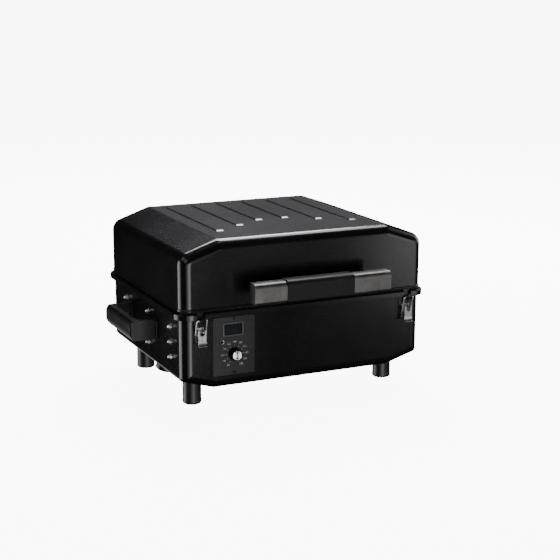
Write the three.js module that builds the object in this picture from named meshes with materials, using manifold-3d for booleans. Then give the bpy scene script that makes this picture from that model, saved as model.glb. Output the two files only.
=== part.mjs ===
// Portable pellet smoker grill: a sheet-steel tub on four feet, a hinged lid with a bar handle,
// two toggle latches, carry handles, a control panel, and the pellet, fire and cooking parts inside.
// Units are millimetres. +X is the grill's right, +Y its back, +Z up.
// The origin is on the ground, under the middle of the whole grill.
import * as THREE from 'three';
import { mergeVertices } from 'three/addons/utils/BufferGeometryUtils.js';
import Module from 'manifold-3d';

const wasm = await Module();
wasm.setup();

// ---- Driving dimensions ----
const SHEET = 1.6; // steel sheet of the lid, tub and rim
const CLEAR = 0.3; // gap between neighbouring pieces
const EDGE_RADIUS = 20; // rounded front and back edges of lid and tub
const BEND_RADIUS = 24; // bends of the lid's roof

const LID = { halfWidth: 260, depth: 412, bottom: 202, shoulder: 307, top: 334, roofHalfWidth: 181 };
const HEM = { out: 1.5, height: 4, flange: 12 };
const RIB = { count: 6, pitch: 58, width: 14, rise: 1.6, back: 160, frontNear: 29.5, frontStep: 37 };
const EXHAUST = { count: 5, pitch: 60, length: 44, height: 3.5, z: 222 };

const TUB = { halfWidth: 258, depth: 408, top: 196.6, floor: 44, chine: 64, floorHalfWidth: 190 };
const RIM = { out: 10, bottom: 187, top: 198.6, inset: 9 };
const GASKET = { outer: 3, inner: 11 };

const FOOT = { x: 212, y: 133, radius: 19, edge: 4 };
const HANDLE = { x0: -139, x1: 150, gap: 42, reach: 66.5, bottom: 220, top: 259, wall: 1.5 };
const HANDLE_EDGE = { top: 11, bottom: 5 }; // rounding of the bar's two front edges
const HANDLE_POST = { x: 100, radius: 9 };
const GRIP = { x0: -73, x1: 69, thick: 2 };
const CARRY = { y0: -68, y1: 84, reach: 57, bar: 19, leg: 8, corner: 6 };
const CARRY_GRIP = { bottom: 118, crown: 141, top: 158, bulge: 8 };

const PANEL = { x0: -197, x1: -111, z0: 71, z1: 185, thick: 2 };
const WINDOW = { x0: -173.5, x1: -136.5, z0: 150, z1: 171 };
const KNOB = { x: -152.5, z: 111, radius: 12.5, height: 12, faceRadius: 9.5, shaft: 3 };
const SOCKET = { x: -179, z: 137.5, radius: 4.5, bore: 2 };
const PANEL_SCREW = { x: -152.5, edge: 4, radius: 3, shank: 1.4 };

const LATCH_X = 223;
const LATCH = { pivotY: -213, pivotZ: 163, loopY: -209.5, loopZ: 157, barY: -217.6, barZ: 187, wire: 1.3 };
const CATCH = { halfWidth: 6.4, bottom: 173, ledge: 183.4, hookFront: -215.2 };

const HINGE = { x: 150, y: 212, z: 201.5, knuckle: 4.2, pin: 2, halfLength: 20, middle: 6.6 };
const DIVIDER_X = -100; // right face of the wall between hopper and cooking chamber
const AUGER = { y: 20, z: 84, radius: 20, shaft: 7, pitch: 34, x0: -199.5, x1: 32 };
const TUBE = { outer: 25, inner: 22.5, x0: -190, x1: 36 };
const POT = { x: 72, y: 20, radius: 42, wall: 2.5, bottom: 54, top: 114 };
const TRAY = { x0: -86, x1: 238, halfDepth: 183, bottom: 142, top: 156, wall: 1.2, shelf: 26 };
const GRATE = { x0: -96, x1: 245, halfDepth: 190, bottom: 180, rod: 5, bars: 15, shelf: 18 };
const HOPPER = { x0: -238, x1: -112, y0: -130, y1: 186, top: 192, knee: 150, bottom: 111, wall: 1.5 };
const HOPPER_LID = { axisX: -106, axisZ: 196.2, thick: 1.6, lip: 6, curl: 2.6 };
const FAN = { x: -196, y: -98, radius: 36, bottom: 66, top: 94, impeller: 26, blades: 9 };

const tubFront = -TUB.depth / 2;
const lidFront = -LID.depth / 2;

// ---- Looks of the materials ----
const paint = { color: 0x0d0d0f, roughness: 0.38, metalness: 0.1 };
const looks = {
  paint,
  plastic: { color: 0x0b0b0c, roughness: 0.6, metalness: 0 },
  rubber: { color: 0x101011, roughness: 0.85, metalness: 0 },
  stainless: { color: 0xa9a59f, roughness: 0.35, metalness: 1 },
  zinc: { color: 0xb4b4b2, roughness: 0.28, metalness: 1 },
  screen: { color: 0x141a22, roughness: 0.12, metalness: 0 },
  steel: { color: 0x6f6d6a, roughness: 0.5, metalness: 0.9 },
  enamel: { color: 0x17171a, roughness: 0.3, metalness: 0.2 },
  felt: { color: 0x26262a, roughness: 0.95, metalness: 0 },
};

// ---- Solid helpers ----
function toSolid(geometry) {
  const bare = geometry.index ? geometry.clone() : mergeVertices(geometry.clone());
  bare.deleteAttribute('normal');
  bare.deleteAttribute('uv');
  const merged = mergeVertices(bare, 1e-4);
  const vertProperties = new Float32Array(merged.attributes.position.array);
  const triVerts = new Uint32Array(merged.index.array);
  return new wasm.Manifold(new wasm.Mesh({ numProp: 3, vertProperties, triVerts }));
}

function toGeometry(solid) {
  const mesh = solid.getMesh();
  const geometry = new THREE.BufferGeometry();
  geometry.setAttribute('position', new THREE.BufferAttribute(mesh.vertProperties, 3));
  geometry.setIndex(new THREE.BufferAttribute(mesh.triVerts, 1));
  geometry.computeVertexNormals();
  return geometry;
}

const join = (first, ...rest) => rest.reduce((whole, piece) => whole.add(piece), first);
const cut = (whole, ...tools) => tools.reduce((left, tool) => left.subtract(tool), whole);

function block(x0, x1, y0, y1, z0, z1) {
  const box = new THREE.BoxGeometry(x1 - x0, y1 - y0, z1 - z0);
  box.translate((x0 + x1) / 2, (y0 + y1) / 2, (z0 + z1) / 2);
  return toSolid(box);
}

// A round bar from one point to another along the named axis.
function rod(axis, radius, from, to, sides = 16) {
  const length = to[axis] - from[axis];
  const bar = new THREE.CylinderGeometry(radius, radius, Math.abs(length), sides);
  if (axis === 0) bar.rotateZ(Math.PI / 2);
  if (axis === 2) bar.rotateX(Math.PI / 2);
  const middle = from.map((value, k) => (value + to[k]) / 2);
  bar.translate(...middle);
  return toSolid(bar);
}
const rodX = (r, x0, x1, y, z, sides) => rod(0, r, [x0, y, z], [x1, y, z], sides);
const rodY = (r, x, y0, y1, z, sides) => rod(1, r, [x, y0, z], [x, y1, z], sides);
const rodZ = (r, x, y, z0, z1, sides) => rod(2, r, [x, y, z0], [x, y, z1], sides);

// An outline of straight lines whose corners [u, v, radius] are rounded off.
function roundedShape(corners) {
  const shape = new THREE.Shape();
  const points = corners.map(([u, v]) => new THREE.Vector2(u, v));
  const count = corners.length;
  corners.forEach(([, , radius = 0], i) => {
    const here = points[i];
    const back = points[(i + count - 1) % count].clone().sub(here).normalize();
    const ahead = points[(i + 1) % count].clone().sub(here).normalize();
    const turn = Math.PI - Math.acos(THREE.MathUtils.clamp(back.dot(ahead), -1, 1));
    const reach = radius * Math.tan(turn / 2);
    const handle = (4 / 3) * Math.tan(turn / 4) * radius;
    const start = here.clone().addScaledVector(back, reach);
    const end = here.clone().addScaledVector(ahead, reach);
    if (i === 0) shape.moveTo(start.x, start.y);
    else shape.lineTo(start.x, start.y);
    if (radius > 0) {
      const c1 = start.clone().addScaledVector(back, -handle);
      const c2 = end.clone().addScaledVector(ahead, -handle);
      shape.bezierCurveTo(c1.x, c1.y, c2.x, c2.y, end.x, end.y);
    }
  });
  shape.closePath();
  return shape;
}

const flat = (shape, depth, segments = 4) =>
  new THREE.ExtrudeGeometry(shape, { depth, bevelEnabled: false, curveSegments: segments });

// Outline in X and Z, pushed along Y from y0 to y1.
function alongY(shape, y0, y1, segments) {
  const geometry = flat(shape, y1 - y0, segments);
  geometry.rotateX(Math.PI / 2);
  geometry.translate(0, y1, 0);
  return toSolid(geometry);
}

// Outline in Y and Z, pushed along X from x0 to x1.
function alongX(shape, x0, x1, segments) {
  const geometry = flat(shape, x1 - x0, segments);
  geometry.rotateX(Math.PI / 2);
  geometry.rotateZ(Math.PI / 2);
  geometry.translate(x0, 0, 0);
  return toSolid(geometry);
}

// Outline in X and Y, pushed up from z0 to z1.
function alongZ(shape, z0, z1, segments) {
  const geometry = flat(shape, z1 - z0, segments);
  geometry.translate(0, 0, z0);
  return toSolid(geometry);
}

// A body of revolution about a line parallel to X, Y or Z through the given point.
function turned(profile, axis, place, sides = 20) {
  const points = profile.map(([radius, along]) => new THREE.Vector2(radius, along));
  const geometry = new THREE.LatheGeometry(points, sides);
  if (axis === 0) geometry.rotateZ(-Math.PI / 2);
  if (axis === 2) geometry.rotateX(Math.PI / 2);
  geometry.translate(...place);
  return toSolid(geometry);
}

// ---- Envelopes of the lid and the tub ----
// Each is a full-depth form with rounded front and back edges, grown by an offset all round.
const lidOutline = roundedShape([
  [-LID.halfWidth, TUB.floor],
  [-LID.halfWidth, LID.shoulder, BEND_RADIUS],
  [-LID.roofHalfWidth, LID.top, BEND_RADIUS],
  [LID.roofHalfWidth, LID.top, BEND_RADIUS],
  [LID.halfWidth, LID.shoulder, BEND_RADIUS],
  [LID.halfWidth, TUB.floor],
]);
const tubOutline = roundedShape([
  [-TUB.halfWidth, LID.top],
  [-TUB.halfWidth, TUB.chine],
  [-TUB.floorHalfWidth, TUB.floor],
  [TUB.floorHalfWidth, TUB.floor],
  [TUB.halfWidth, TUB.chine],
  [TUB.halfWidth, LID.top],
]);

function envelope(outline, depth, offset) {
  const straight = depth - 2 * EDGE_RADIUS;
  const geometry = new THREE.ExtrudeGeometry(outline, {
    depth: straight,
    curveSegments: 3,
    bevelSegments: 4,
    bevelThickness: EDGE_RADIUS + offset,
    bevelSize: EDGE_RADIUS + offset,
    bevelOffset: -EDGE_RADIUS,
  });
  geometry.rotateX(Math.PI / 2);
  geometry.translate(0, straight / 2, 0);
  return toSolid(geometry);
}

function slice(solid, z0, z1) {
  const wide = 400;
  return solid.intersect(block(-wide, wide, -wide, wide, z0, z1));
}
const lidSlice = (offset, z0, z1) => slice(envelope(lidOutline, LID.depth, offset), z0, z1);
const tubSlice = (offset, z0, z1) => slice(envelope(tubOutline, TUB.depth, offset), z0, z1);

// ---- The assembly ----
// The handle stands out further in front than the hinges do behind, so the tub is moved back
// until the origin is under the middle of the whole grill.
const frontmost = lidFront - HANDLE.reach - GRIP.thick;
const rearmost = HINGE.y + HINGE.knuckle;
const grill = new THREE.Group();
grill.name = 'pellet_smoker_grill';
const assembly = new THREE.Group();
assembly.position.y = -(frontmost + rearmost) / 2;
grill.add(assembly);

function add(name, solid, look) {
  const mesh = new THREE.Mesh(toGeometry(solid), new THREE.MeshStandardMaterial(looks[look]));
  mesh.name = name;
  assembly.add(mesh);
}

// ---- Lid ----
function lidShell() {
  const skin = lidSlice(0, LID.bottom, LID.top + 1);
  const hem = lidSlice(HEM.out, LID.bottom, LID.bottom + HEM.height);
  const hollow = lidSlice(-SHEET, LID.bottom + SHEET, LID.top);
  const mouth = lidSlice(-HEM.flange, TUB.top, LID.bottom + 2 * SHEET);
  // Pressed ribs run forward from the back of the roof, the outer ones furthest.
  const ribs = [];
  for (let i = 0; i < RIB.count; i += 1) {
    const place = i - (RIB.count - 1) / 2;
    const x = place * RIB.pitch;
    const front = -(RIB.frontNear + RIB.frontStep * Math.abs(place));
    const half = RIB.width / 2;
    ribs.push(block(x - half, x + half, front, RIB.back, LID.top - SHEET / 2, LID.top + RIB.rise));
  }
  const slots = [];
  for (let i = 0; i < EXHAUST.count; i += 1) {
    const x = (i - (EXHAUST.count - 1) / 2) * EXHAUST.pitch;
    const half = EXHAUST.length / 2;
    const back = -lidFront;
    slots.push(block(x - half, x + half, back - 5, back + 5, EXHAUST.z, EXHAUST.z + EXHAUST.height));
  }
  const notches = [-HINGE.x, HINGE.x].map((x) =>
    block(x - 24, x + 24, -lidFront, -lidFront + 5, LID.bottom - 1, LID.bottom + HEM.height + 1));
  return cut(join(skin, hem, ...ribs), hollow, mouth, ...slots, ...notches);
}
add('lid_shell', lidShell(), 'paint');

const gasketTop = LID.bottom - CLEAR;
const gasketBottom = RIM.top + CLEAR;
const gasketRing = cut(
  lidSlice(-GASKET.outer, gasketBottom, gasketTop),
  lidSlice(-GASKET.inner, gasketBottom - 1, gasketTop + 1),
);
add('lid_gasket', gasketRing, 'felt');

// Section of the lid handle, in Y and Z: flat behind and in front, with its front edges rounded.
function handleSection(grow) {
  const back = lidFront - HANDLE.gap + grow;
  const front = lidFront - HANDLE.reach - grow;
  const low = HANDLE.bottom - grow;
  const high = HANDLE.top + grow;
  const shape = new THREE.Shape();
  shape.moveTo(back, low);
  shape.lineTo(back, high);
  shape.lineTo(front + HANDLE_EDGE.top, high);
  shape.quadraticCurveTo(front, high, front, high - HANDLE_EDGE.top);
  shape.lineTo(front, low + HANDLE_EDGE.bottom);
  shape.quadraticCurveTo(front, low, front + HANDLE_EDGE.bottom, low);
  shape.closePath();
  return shape;
}

// Slot along the back of the bar and of its sleeve, where the posts go in.
function handleMouth(x0, x1) {
  const back = lidFront - HANDLE.gap;
  return block(x0, x1, back - 4, back + 4, HANDLE.bottom + 4, HANDLE.top - 4);
}

function handleBar() {
  const x0 = HANDLE.x0 + HANDLE.wall;
  const x1 = HANDLE.x1 - HANDLE.wall;
  const outside = alongX(handleSection(0), HANDLE.x0, HANDLE.x1, 5);
  const inside = alongX(handleSection(-HANDLE.wall), x0, x1, 5);
  return cut(outside, inside, handleMouth(x0, x1));
}
add('handle_bar', handleBar(), 'stainless');

const gripSleeve = cut(
  alongX(handleSection(GRIP.thick), GRIP.x0, GRIP.x1, 5),
  alongX(handleSection(CLEAR), GRIP.x0 - 1, GRIP.x1 + 1, 5),
  handleMouth(GRIP.x0 - 1, GRIP.x1 + 1),
);
add('handle_grip', gripSleeve, 'rubber');

const handleMiddle = (HANDLE.bottom + HANDLE.top) / 2;
const postFront = lidFront - HANDLE.reach + HANDLE.wall + 2;
for (const [side, x] of [['left', -HANDLE_POST.x], ['right', HANDLE_POST.x]]) {
  const post = rodY(HANDLE_POST.radius, x, postFront, lidFront - CLEAR, handleMiddle);
  add(`handle_post_${side}`, post, 'steel');
}

// ---- Tub ----
const shelfThick = 2;
const shelves = [TRAY, GRATE].map(({ bottom, shelf }) => ({ top: bottom - CLEAR, depth: shelf }));

function bolts(side) {
  const left = [[-147, 163], [-147, 133], [-147, 103], [-23, 164], [-23, 101], [106, 163]];
  const right = [[-23, 164], [-23, 101]];
  return side < 0 ? left : right;
}

function tubShell() {
  const back = -tubFront;
  const outside = tubSlice(0, TUB.floor - 1, TUB.top);
  const hollow = tubSlice(-SHEET, TUB.floor, LID.top);
  let shell = cut(outside, hollow);
  // Shelves folded in along the front, back and right walls carry the tray and the grate.
  for (const { top, depth } of shelves) {
    const low = top - shelfThick;
    const ring = cut(tubSlice(-SHEET / 2, low, top), tubSlice(-depth, low - 1, top + 1));
    const leftHalf = block(-400, DIVIDER_X + CLEAR, -400, 400, low - 1, top + 1);
    shell = shell.add(ring.subtract(leftHalf));
  }
  const panelHole = block(
    PANEL.x0 + 10, PANEL.x1 - 10, tubFront - 5, tubFront + 5, PANEL.z0 + 10, PANEL.z1 - 10);
  const inletHole = block(-204, -176, back - 5, back + 5, 109, 131);
  const intakeHole = rodZ(14, -236, -50, 38, 61, 12);
  shell = cut(shell, panelHole, inletHole, intakeHole);
  for (const side of [-1, 1]) {
    for (const [y, z] of bolts(side)) {
      shell = cut(shell, rodX(3.2, side * 250, side * 262, y, z, 8));
    }
  }
  return shell;
}
add('tub_shell', tubShell(), 'paint');

function rimRing() {
  const skirtHollow = tubSlice(RIM.out - SHEET, RIM.bottom - 1, RIM.top - SHEET);
  const mouth = tubSlice(-RIM.inset, RIM.bottom - 1, RIM.top + 1);
  const ring = cut(tubSlice(RIM.out, RIM.bottom, RIM.top), skirtHollow, mouth);
  const catchSlots = [-LATCH_X, LATCH_X].map((x) => block(
    x - CATCH.halfWidth - 1, x + CATCH.halfWidth + 1,
    tubFront - RIM.out - 1, tubFront - 0.1, RIM.bottom - 1, RIM.top + 1));
  const hingeNotches = [-HINGE.x, HINGE.x].map((x) => block(
    x - 24, x + 24, -tubFront - 0.2, -tubFront + RIM.out + 2, RIM.bottom - 1, RIM.top + 1));
  return cut(ring, ...catchSlots, ...hingeNotches);
}
add('tub_rim', rimRing(), 'paint');

// Round feet, cut to sit under the sloping edge of the floor.
const footTop = 62;
for (const [name, sx, sy] of [
  ['front_left', -1, -1], ['front_right', 1, -1], ['back_left', -1, 1], ['back_right', 1, 1]]) {
  const bevel = FOOT.edge * 0.3;
  const profile = [
    [0, 0], [FOOT.radius - FOOT.edge, 0], [FOOT.radius - bevel, bevel], [FOOT.radius, FOOT.edge],
    [FOOT.radius, footTop], [0, footTop]];
  const blank = turned(profile, 2, [sx * FOOT.x, sy * FOOT.y, 0], 20);
  add(`foot_${name}`, cut(blank, tubSlice(CLEAR, TUB.floor - 2, LID.top)), 'rubber');
}

// Dome nuts on the side walls, with their shanks through the sheet.
function domeNut(side, y, z) {
  const face = TUB.halfWidth + CLEAR;
  const profile = [[0, -6], [2.8, -6], [2.8, 0], [5.2, 0], [5.2, 3.2], [4.6, 4.2], [3.2, 7], [0, 8.2]];
  const turnedRight = turned(profile, 0, [0, 0, 0], 10);
  const facing = side < 0 ? turnedRight.rotate([0, 0, 180]) : turnedRight;
  return facing.translate([side * face, y, z]);
}
for (const [side, label] of [[-1, 'left'], [1, 'right']]) {
  bolts(side).forEach(([y, z], i) => add(`side_nut_${label}_${i + 1}`, domeNut(side, y, z), 'zinc'));
}

// Carry handle: a U of moulded plastic standing off the side wall, its grip bulging outwards.
function carryHandle(side) {
  const { y0, y1, reach, bar, leg, corner } = CARRY;
  const { bottom, crown, top, bulge } = CARRY_GRIP;
  const wall = side * (TUB.halfWidth + CLEAR);
  const out = side * (TUB.halfWidth + reach);
  const inner = side * (TUB.halfWidth + reach - bar);
  const outline = roundedShape([
    [wall, y0], [out, y0, corner], [out, y1, corner], [wall, y1],
    [wall, y1 - leg], [inner, y1 - leg, 5], [inner, y0 + leg, 5], [wall, y0 + leg]]);
  const section = new THREE.Shape();
  section.moveTo(wall, bottom);
  section.lineTo(out - side * bulge, bottom);
  section.quadraticCurveTo(out, bottom + bulge, out, crown);
  section.quadraticCurveTo(out, top - bulge, out - side * bulge, top);
  section.lineTo(wall, top);
  section.closePath();
  const ring = alongZ(outline, bottom - 1, top + 1, 4).intersect(alongY(section, y0 - 1, y1 + 1, 4));
  const flanges = [y0, y1 - leg].map((y) => {
    const x = [wall, side * (TUB.halfWidth + 5)].sort((a, b) => a - b);
    return block(x[0], x[1], y - 6, y + leg + 6, bottom + 1, top - 1);
  });
  return join(ring, ...flanges);
}
add('carry_handle_left', carryHandle(-1), 'plastic');
add('carry_handle_right', carryHandle(1), 'plastic');

// Louvred cap over the fan's air intake, under the sloping left edge of the floor.
const slope = Math.atan2(TUB.chine - TUB.floor, TUB.halfWidth - TUB.floorHalfWidth);
function intakeCap() {
  const profile = [[0, -8.5], [13, -8.5], [19, -4], [19, 4], [16.5, 4], [16.5, -3], [12, -6.5], [0, -6.5]];
  const cap = turned(profile, 2, [0, 0, 0], 16);
  const tilted = cap.rotate([0, THREE.MathUtils.radToDeg(slope), 0]).translate([-236, -50, 53]);
  return cut(tilted, tubSlice(CLEAR, TUB.floor - 2, LID.top));
}
add('air_intake_cap', intakeCap(), 'plastic');

// ---- Control panel ----
const panelBack = tubFront - CLEAR;
const panelFront = panelBack - PANEL.thick;
function controlPanel() {
  const plate = block(PANEL.x0, PANEL.x1, panelFront, panelBack, PANEL.z0, PANEL.z1);
  const windowHole = block(
    WINDOW.x0 - CLEAR, WINDOW.x1 + CLEAR, panelFront - 1, panelBack + 1,
    WINDOW.z0 - CLEAR, WINDOW.z1 + CLEAR);
  const knobHole = rodY(KNOB.shaft + 0.5, KNOB.x, panelFront - 1, panelBack + 1, KNOB.z, 12);
  const socketHole = rodY(SOCKET.radius - 1, SOCKET.x, panelFront - 1, panelBack + 1, SOCKET.z, 12);
  const screwHoles = screwHeights().map((z) =>
    rodY(PANEL_SCREW.shank + CLEAR, PANEL_SCREW.x, panelFront - 1, panelBack + 1, z, 8));
  return cut(plate, windowHole, knobHole, socketHole, ...screwHoles);
}
function screwHeights() {
  return [PANEL.z1 - PANEL_SCREW.edge, PANEL.z0 + PANEL_SCREW.edge];
}
add('control_panel', controlPanel(), 'plastic');
add('display_window', block(
  WINDOW.x0, WINDOW.x1, panelFront + 0.4, panelBack - CLEAR, WINDOW.z0, WINDOW.z1), 'screen');

function panelScrew(z) {
  const head = PANEL_SCREW.radius;
  const profile = [
    [0, -1.7], [head * 0.7, -1.5], [head, -0.6], [head, 0],
    [PANEL_SCREW.shank, 0], [PANEL_SCREW.shank, 2], [0, 2]];
  return turned(profile, 1, [PANEL_SCREW.x, panelFront - CLEAR, z], 10);
}
screwHeights().forEach((z, i) => add(`panel_screw_${i ? 'bottom' : 'top'}`, panelScrew(z), 'steel'));

const socketProfile = [
  [SOCKET.bore, -2], [SOCKET.radius, -1.2], [SOCKET.radius, 0], [SOCKET.radius - 1.3, 0],
  [SOCKET.radius - 1.3, 4], [SOCKET.bore, 4], [SOCKET.bore, -2]];
add('probe_socket', turned(socketProfile, 1, [SOCKET.x, panelFront - CLEAR, SOCKET.z], 14), 'zinc');

function knobBody() {
  const base = KNOB.radius;
  const front = -KNOB.height;
  const profile = [
    [0, front + 1.5], [KNOB.faceRadius + CLEAR, front + 1.5], [KNOB.faceRadius + CLEAR, front],
    [base - 1.8, front], [base - 0.8, front + 1], [base, 0], [KNOB.shaft, 0], [KNOB.shaft, 3], [0, 3]];
  return turned(profile, 1, [KNOB.x, panelFront - 0.5, KNOB.z], 20);
}
add('knob', knobBody(), 'plastic');
const capBack = panelFront - 0.5 - KNOB.height + 1.5 - CLEAR;
const capProfile = [
  [0, -2.6], [KNOB.faceRadius - 0.8, -2.6], [KNOB.faceRadius, -1.8], [KNOB.faceRadius, 0], [0, 0]];
add('knob_cap', turned(capProfile, 1, [KNOB.x, capBack, KNOB.z], 20), 'zinc');

const wallInside = tubFront + SHEET + CLEAR;
add('controller_box', block(-190, -118, wallInside, -160, 76, 180), 'plastic');

// ---- Toggle latches ----
// Each has a base on the tub, a lever on the base, a wire loop on the lever, and a catch on the lid.
const latchWall = tubFront - CLEAR;
const latchPlate = 1.2;

function latchBase(x) {
  const plate = block(x - 8.5, x + 8.5, latchWall - latchPlate, latchWall, 142, 171);
  const ear = roundedShape([
    [latchWall, 158.5], [latchWall, 167.5], [LATCH.pivotY - 2.4, 165.4, 2], [LATCH.pivotY - 2.4, 160.6, 2]]);
  const ears = [-1, 1].map((side) => {
    const edges = [x + side * 3.5, x + side * 4.8].sort((a, b) => a - b);
    return alongX(ear, edges[0], edges[1], 2);
  });
  const pinHole = rodX(1.8, x - 6, x + 6, LATCH.pivotY, LATCH.pivotZ, 12);
  return cut(join(plate, ...ears), pinHole);
}

function latchLever(x) {
  const webFront = LATCH.pivotY - 5.2;
  const webBack = webFront + latchPlate;
  const earTop = LATCH.pivotZ + 5;
  const web = cut(
    block(x - 8.2, x + 8.2, webFront, webBack, 144, earTop),
    block(x - 5, x + 5, webFront - 1, webBack + 1, LATCH.pivotZ - 1, earTop + 1),
    rodY(5, x, webFront - 1, webBack + 1, LATCH.pivotZ - 1, 14),
  );
  const flange = roundedShape([
    [webFront + 0.4, earTop, 1], [webFront + 3.4, earTop, 1], [LATCH.pivotY + 3.4, LATCH.pivotZ + 1.6, 2],
    [LATCH.loopY + 1.6, LATCH.loopZ - 2.4, 2], [webFront + 0.4, 150]]);
  const flanges = [-1, 1].map((side) => {
    const edges = [x + side * 6.8, x + side * 8.2].sort((a, b) => a - b);
    return alongX(flange, edges[0], edges[1], 2);
  });
  const pull = roundedShape([
    [webFront, 146.5], [webBack, 146.5], [webBack - 1.6, 141.5, 2], [webBack - 3.4, 136.5],
    [webFront - 3.4, 136.5], [webFront - 1.6, 141.5, 2]]);
  const pivot = rodX(1.5, x - 8, x + 8, LATCH.pivotY, LATCH.pivotZ, 12);
  const whole = join(web, ...flanges, alongX(pull, x - 8.7, x + 8.7, 2), pivot);
  return cut(whole, rodX(1.6, x - 9, x + 9, LATCH.loopY, LATCH.loopZ, 10));
}

function latchLoop(x) {
  const wide = 10.2;
  const path = new THREE.CurvePath();
  const corner = 3;
  const low = new THREE.Vector3(x, LATCH.loopY, LATCH.loopZ);
  const high = new THREE.Vector3(x, LATCH.barY, LATCH.barZ);
  const up = high.clone().sub(low).normalize();
  const at = (base, dx, along) => base.clone().addScaledVector(up, along).setX(x + dx);
  const line = (a, b) => path.add(new THREE.LineCurve3(a, b));
  const bend = (a, b, c) => path.add(new THREE.QuadraticBezierCurve3(a, b, c));
  line(at(low, -5.5, 0), at(low, -wide + corner, 0));
  bend(at(low, -wide + corner, 0), at(low, -wide, 0), at(low, -wide, corner));
  line(at(low, -wide, corner), at(high, -wide, -corner));
  bend(at(high, -wide, -corner), at(high, -wide, 0), at(high, -wide + corner, 0));
  line(at(high, -wide + corner, 0), at(high, wide - corner, 0));
  bend(at(high, wide - corner, 0), at(high, wide, 0), at(high, wide, -corner));
  line(at(high, wide, -corner), at(low, wide, corner));
  bend(at(low, wide, corner), at(low, wide, 0), at(low, wide - corner, 0));
  line(at(low, wide - corner, 0), at(low, 5.5, 0));
  const section = new THREE.Shape();
  section.absarc(0, 0, LATCH.wire, 0, 2 * Math.PI, false);
  return toSolid(new THREE.ExtrudeGeometry(section, { steps: 30, curveSegments: 3, extrudePath: path }));
}

function latchCatch(x) {
  const { bottom, ledge, hookFront, halfWidth } = CATCH;
  const strapBack = tubFront - 2;
  const strapFront = strapBack - latchPlate;
  const tip = 1;
  const outline = roundedShape([
    [strapBack, LID.bottom - CLEAR], [strapFront, LID.bottom - CLEAR], [strapFront, ledge],
    [hookFront + tip, ledge], [hookFront + tip, ledge + tip], [hookFront, ledge + tip],
    [hookFront, ledge - tip], [strapFront, ledge - tip], [strapFront, bottom], [strapBack, bottom]]);
  return alongX(outline, x - halfWidth, x + halfWidth, 2);
}

for (const [side, x] of [['left', -LATCH_X], ['right', LATCH_X]]) {
  add(`latch_base_${side}`, latchBase(x), 'zinc');
  add(`latch_lever_${side}`, latchLever(x), 'zinc');
  add(`latch_loop_${side}`, latchLoop(x), 'zinc');
  add(`latch_catch_${side}`, latchCatch(x), 'paint');
}

// ---- Lid hinges ----
const tubBack = -tubFront + CLEAR;
const lidBack = -lidFront + CLEAR;

function hingeTubLeaf(x) {
  const leaf = new THREE.Shape();
  leaf.moveTo(tubBack, 150);
  leaf.lineTo(tubBack + SHEET, 150);
  leaf.lineTo(tubBack + SHEET, 190);
  leaf.lineTo(HINGE.y + 1, HINGE.z - 3.6);
  leaf.lineTo(HINGE.y - 2, HINGE.z);
  leaf.lineTo(tubBack, 194);
  leaf.closePath();
  const gap = HINGE.middle + 0.4;
  const plate = block(
    x - HINGE.halfLength, x + HINGE.halfLength, tubBack, tubBack + SHEET, 150, 188);
  const arms = [[-HINGE.halfLength, -gap], [gap, HINGE.halfLength]].map(([a, b]) => join(
    alongX(leaf, x + a, x + b, 2),
    rodX(HINGE.knuckle, x + a, x + b, HINGE.y, HINGE.z, 16),
  ));
  const bore = rodX(HINGE.pin + CLEAR, x - 25, x + 25, HINGE.y, HINGE.z, 12);
  return cut(join(plate, ...arms), bore);
}

function hingeLidLeaf(x) {
  const link = new THREE.Shape();
  link.moveTo(lidBack, 206);
  link.lineTo(lidBack, 240);
  link.lineTo(lidBack + SHEET, 240);
  link.lineTo(lidBack + SHEET, 208.5);
  link.lineTo(HINGE.y + 2.2, HINGE.z + 2.6);
  link.lineTo(HINGE.y - 1.5, HINGE.z - 1);
  link.closePath();
  const plate = block(
    x - HINGE.halfLength, x + HINGE.halfLength, lidBack, lidBack + SHEET, 209, 240);
  const knuckle = rodX(HINGE.knuckle, x - HINGE.middle, x + HINGE.middle, HINGE.y, HINGE.z, 16);
  const bore = rodX(HINGE.pin + CLEAR, x - 25, x + 25, HINGE.y, HINGE.z, 12);
  return cut(join(plate, alongX(link, x - HINGE.middle, x + HINGE.middle, 2), knuckle), bore);
}

for (const [side, x] of [['left', -HINGE.x], ['right', HINGE.x]]) {
  add(`hinge_tub_leaf_${side}`, hingeTubLeaf(x), 'paint');
  add(`hinge_lid_leaf_${side}`, hingeLidLeaf(x), 'paint');
  const pin = rodX(HINGE.pin, x - HINGE.halfLength - 1, x + HINGE.halfLength + 1, HINGE.y, HINGE.z, 12);
  add(`hinge_pin_${side}`, pin, 'zinc');
}

// Mains inlet in the back wall.
function powerInlet() {
  const back = -tubFront;
  const flange = block(-207, -173, back + CLEAR, back + 3, 106, 134);
  const housing = block(-203.5, -176.5, back - 22, back + 1, 109.5, 130.5);
  const mouth = block(-200.5, -179.5, back - 14, back + 5, 112.5, 127.5);
  return cut(join(flange, housing), mouth);
}
add('power_inlet', powerInlet(), 'plastic');

// ---- Hopper side ----
function divider() {
  const left = DIVIDER_X - SHEET;
  const inside = tubSlice(-SHEET - CLEAR, TUB.floor, 190);
  const wall = inside.intersect(block(left, DIVIDER_X, -400, 400, TUB.floor, 190));
  const ledges = shelves.map(({ top, depth }) => block(
    left, DIVIDER_X + depth - 6, tubFront + depth + 1, -tubFront - depth - 1, top - shelfThick, top));
  const tubeHole = rodX(TUBE.outer + 0.5, left - 1, DIVIDER_X + 1, AUGER.y, AUGER.z, 24);
  const fanHole = block(left - 1, DIVIDER_X + 1, -124, -92, 68, 92);
  const probeHole = rodX(3.4, left - 1, DIVIDER_X + 25, -160, 168, 10);
  return cut(join(wall, ...ledges), tubeHole, fanHole, probeHole);
}
add('divider_wall', divider(), 'paint');

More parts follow.
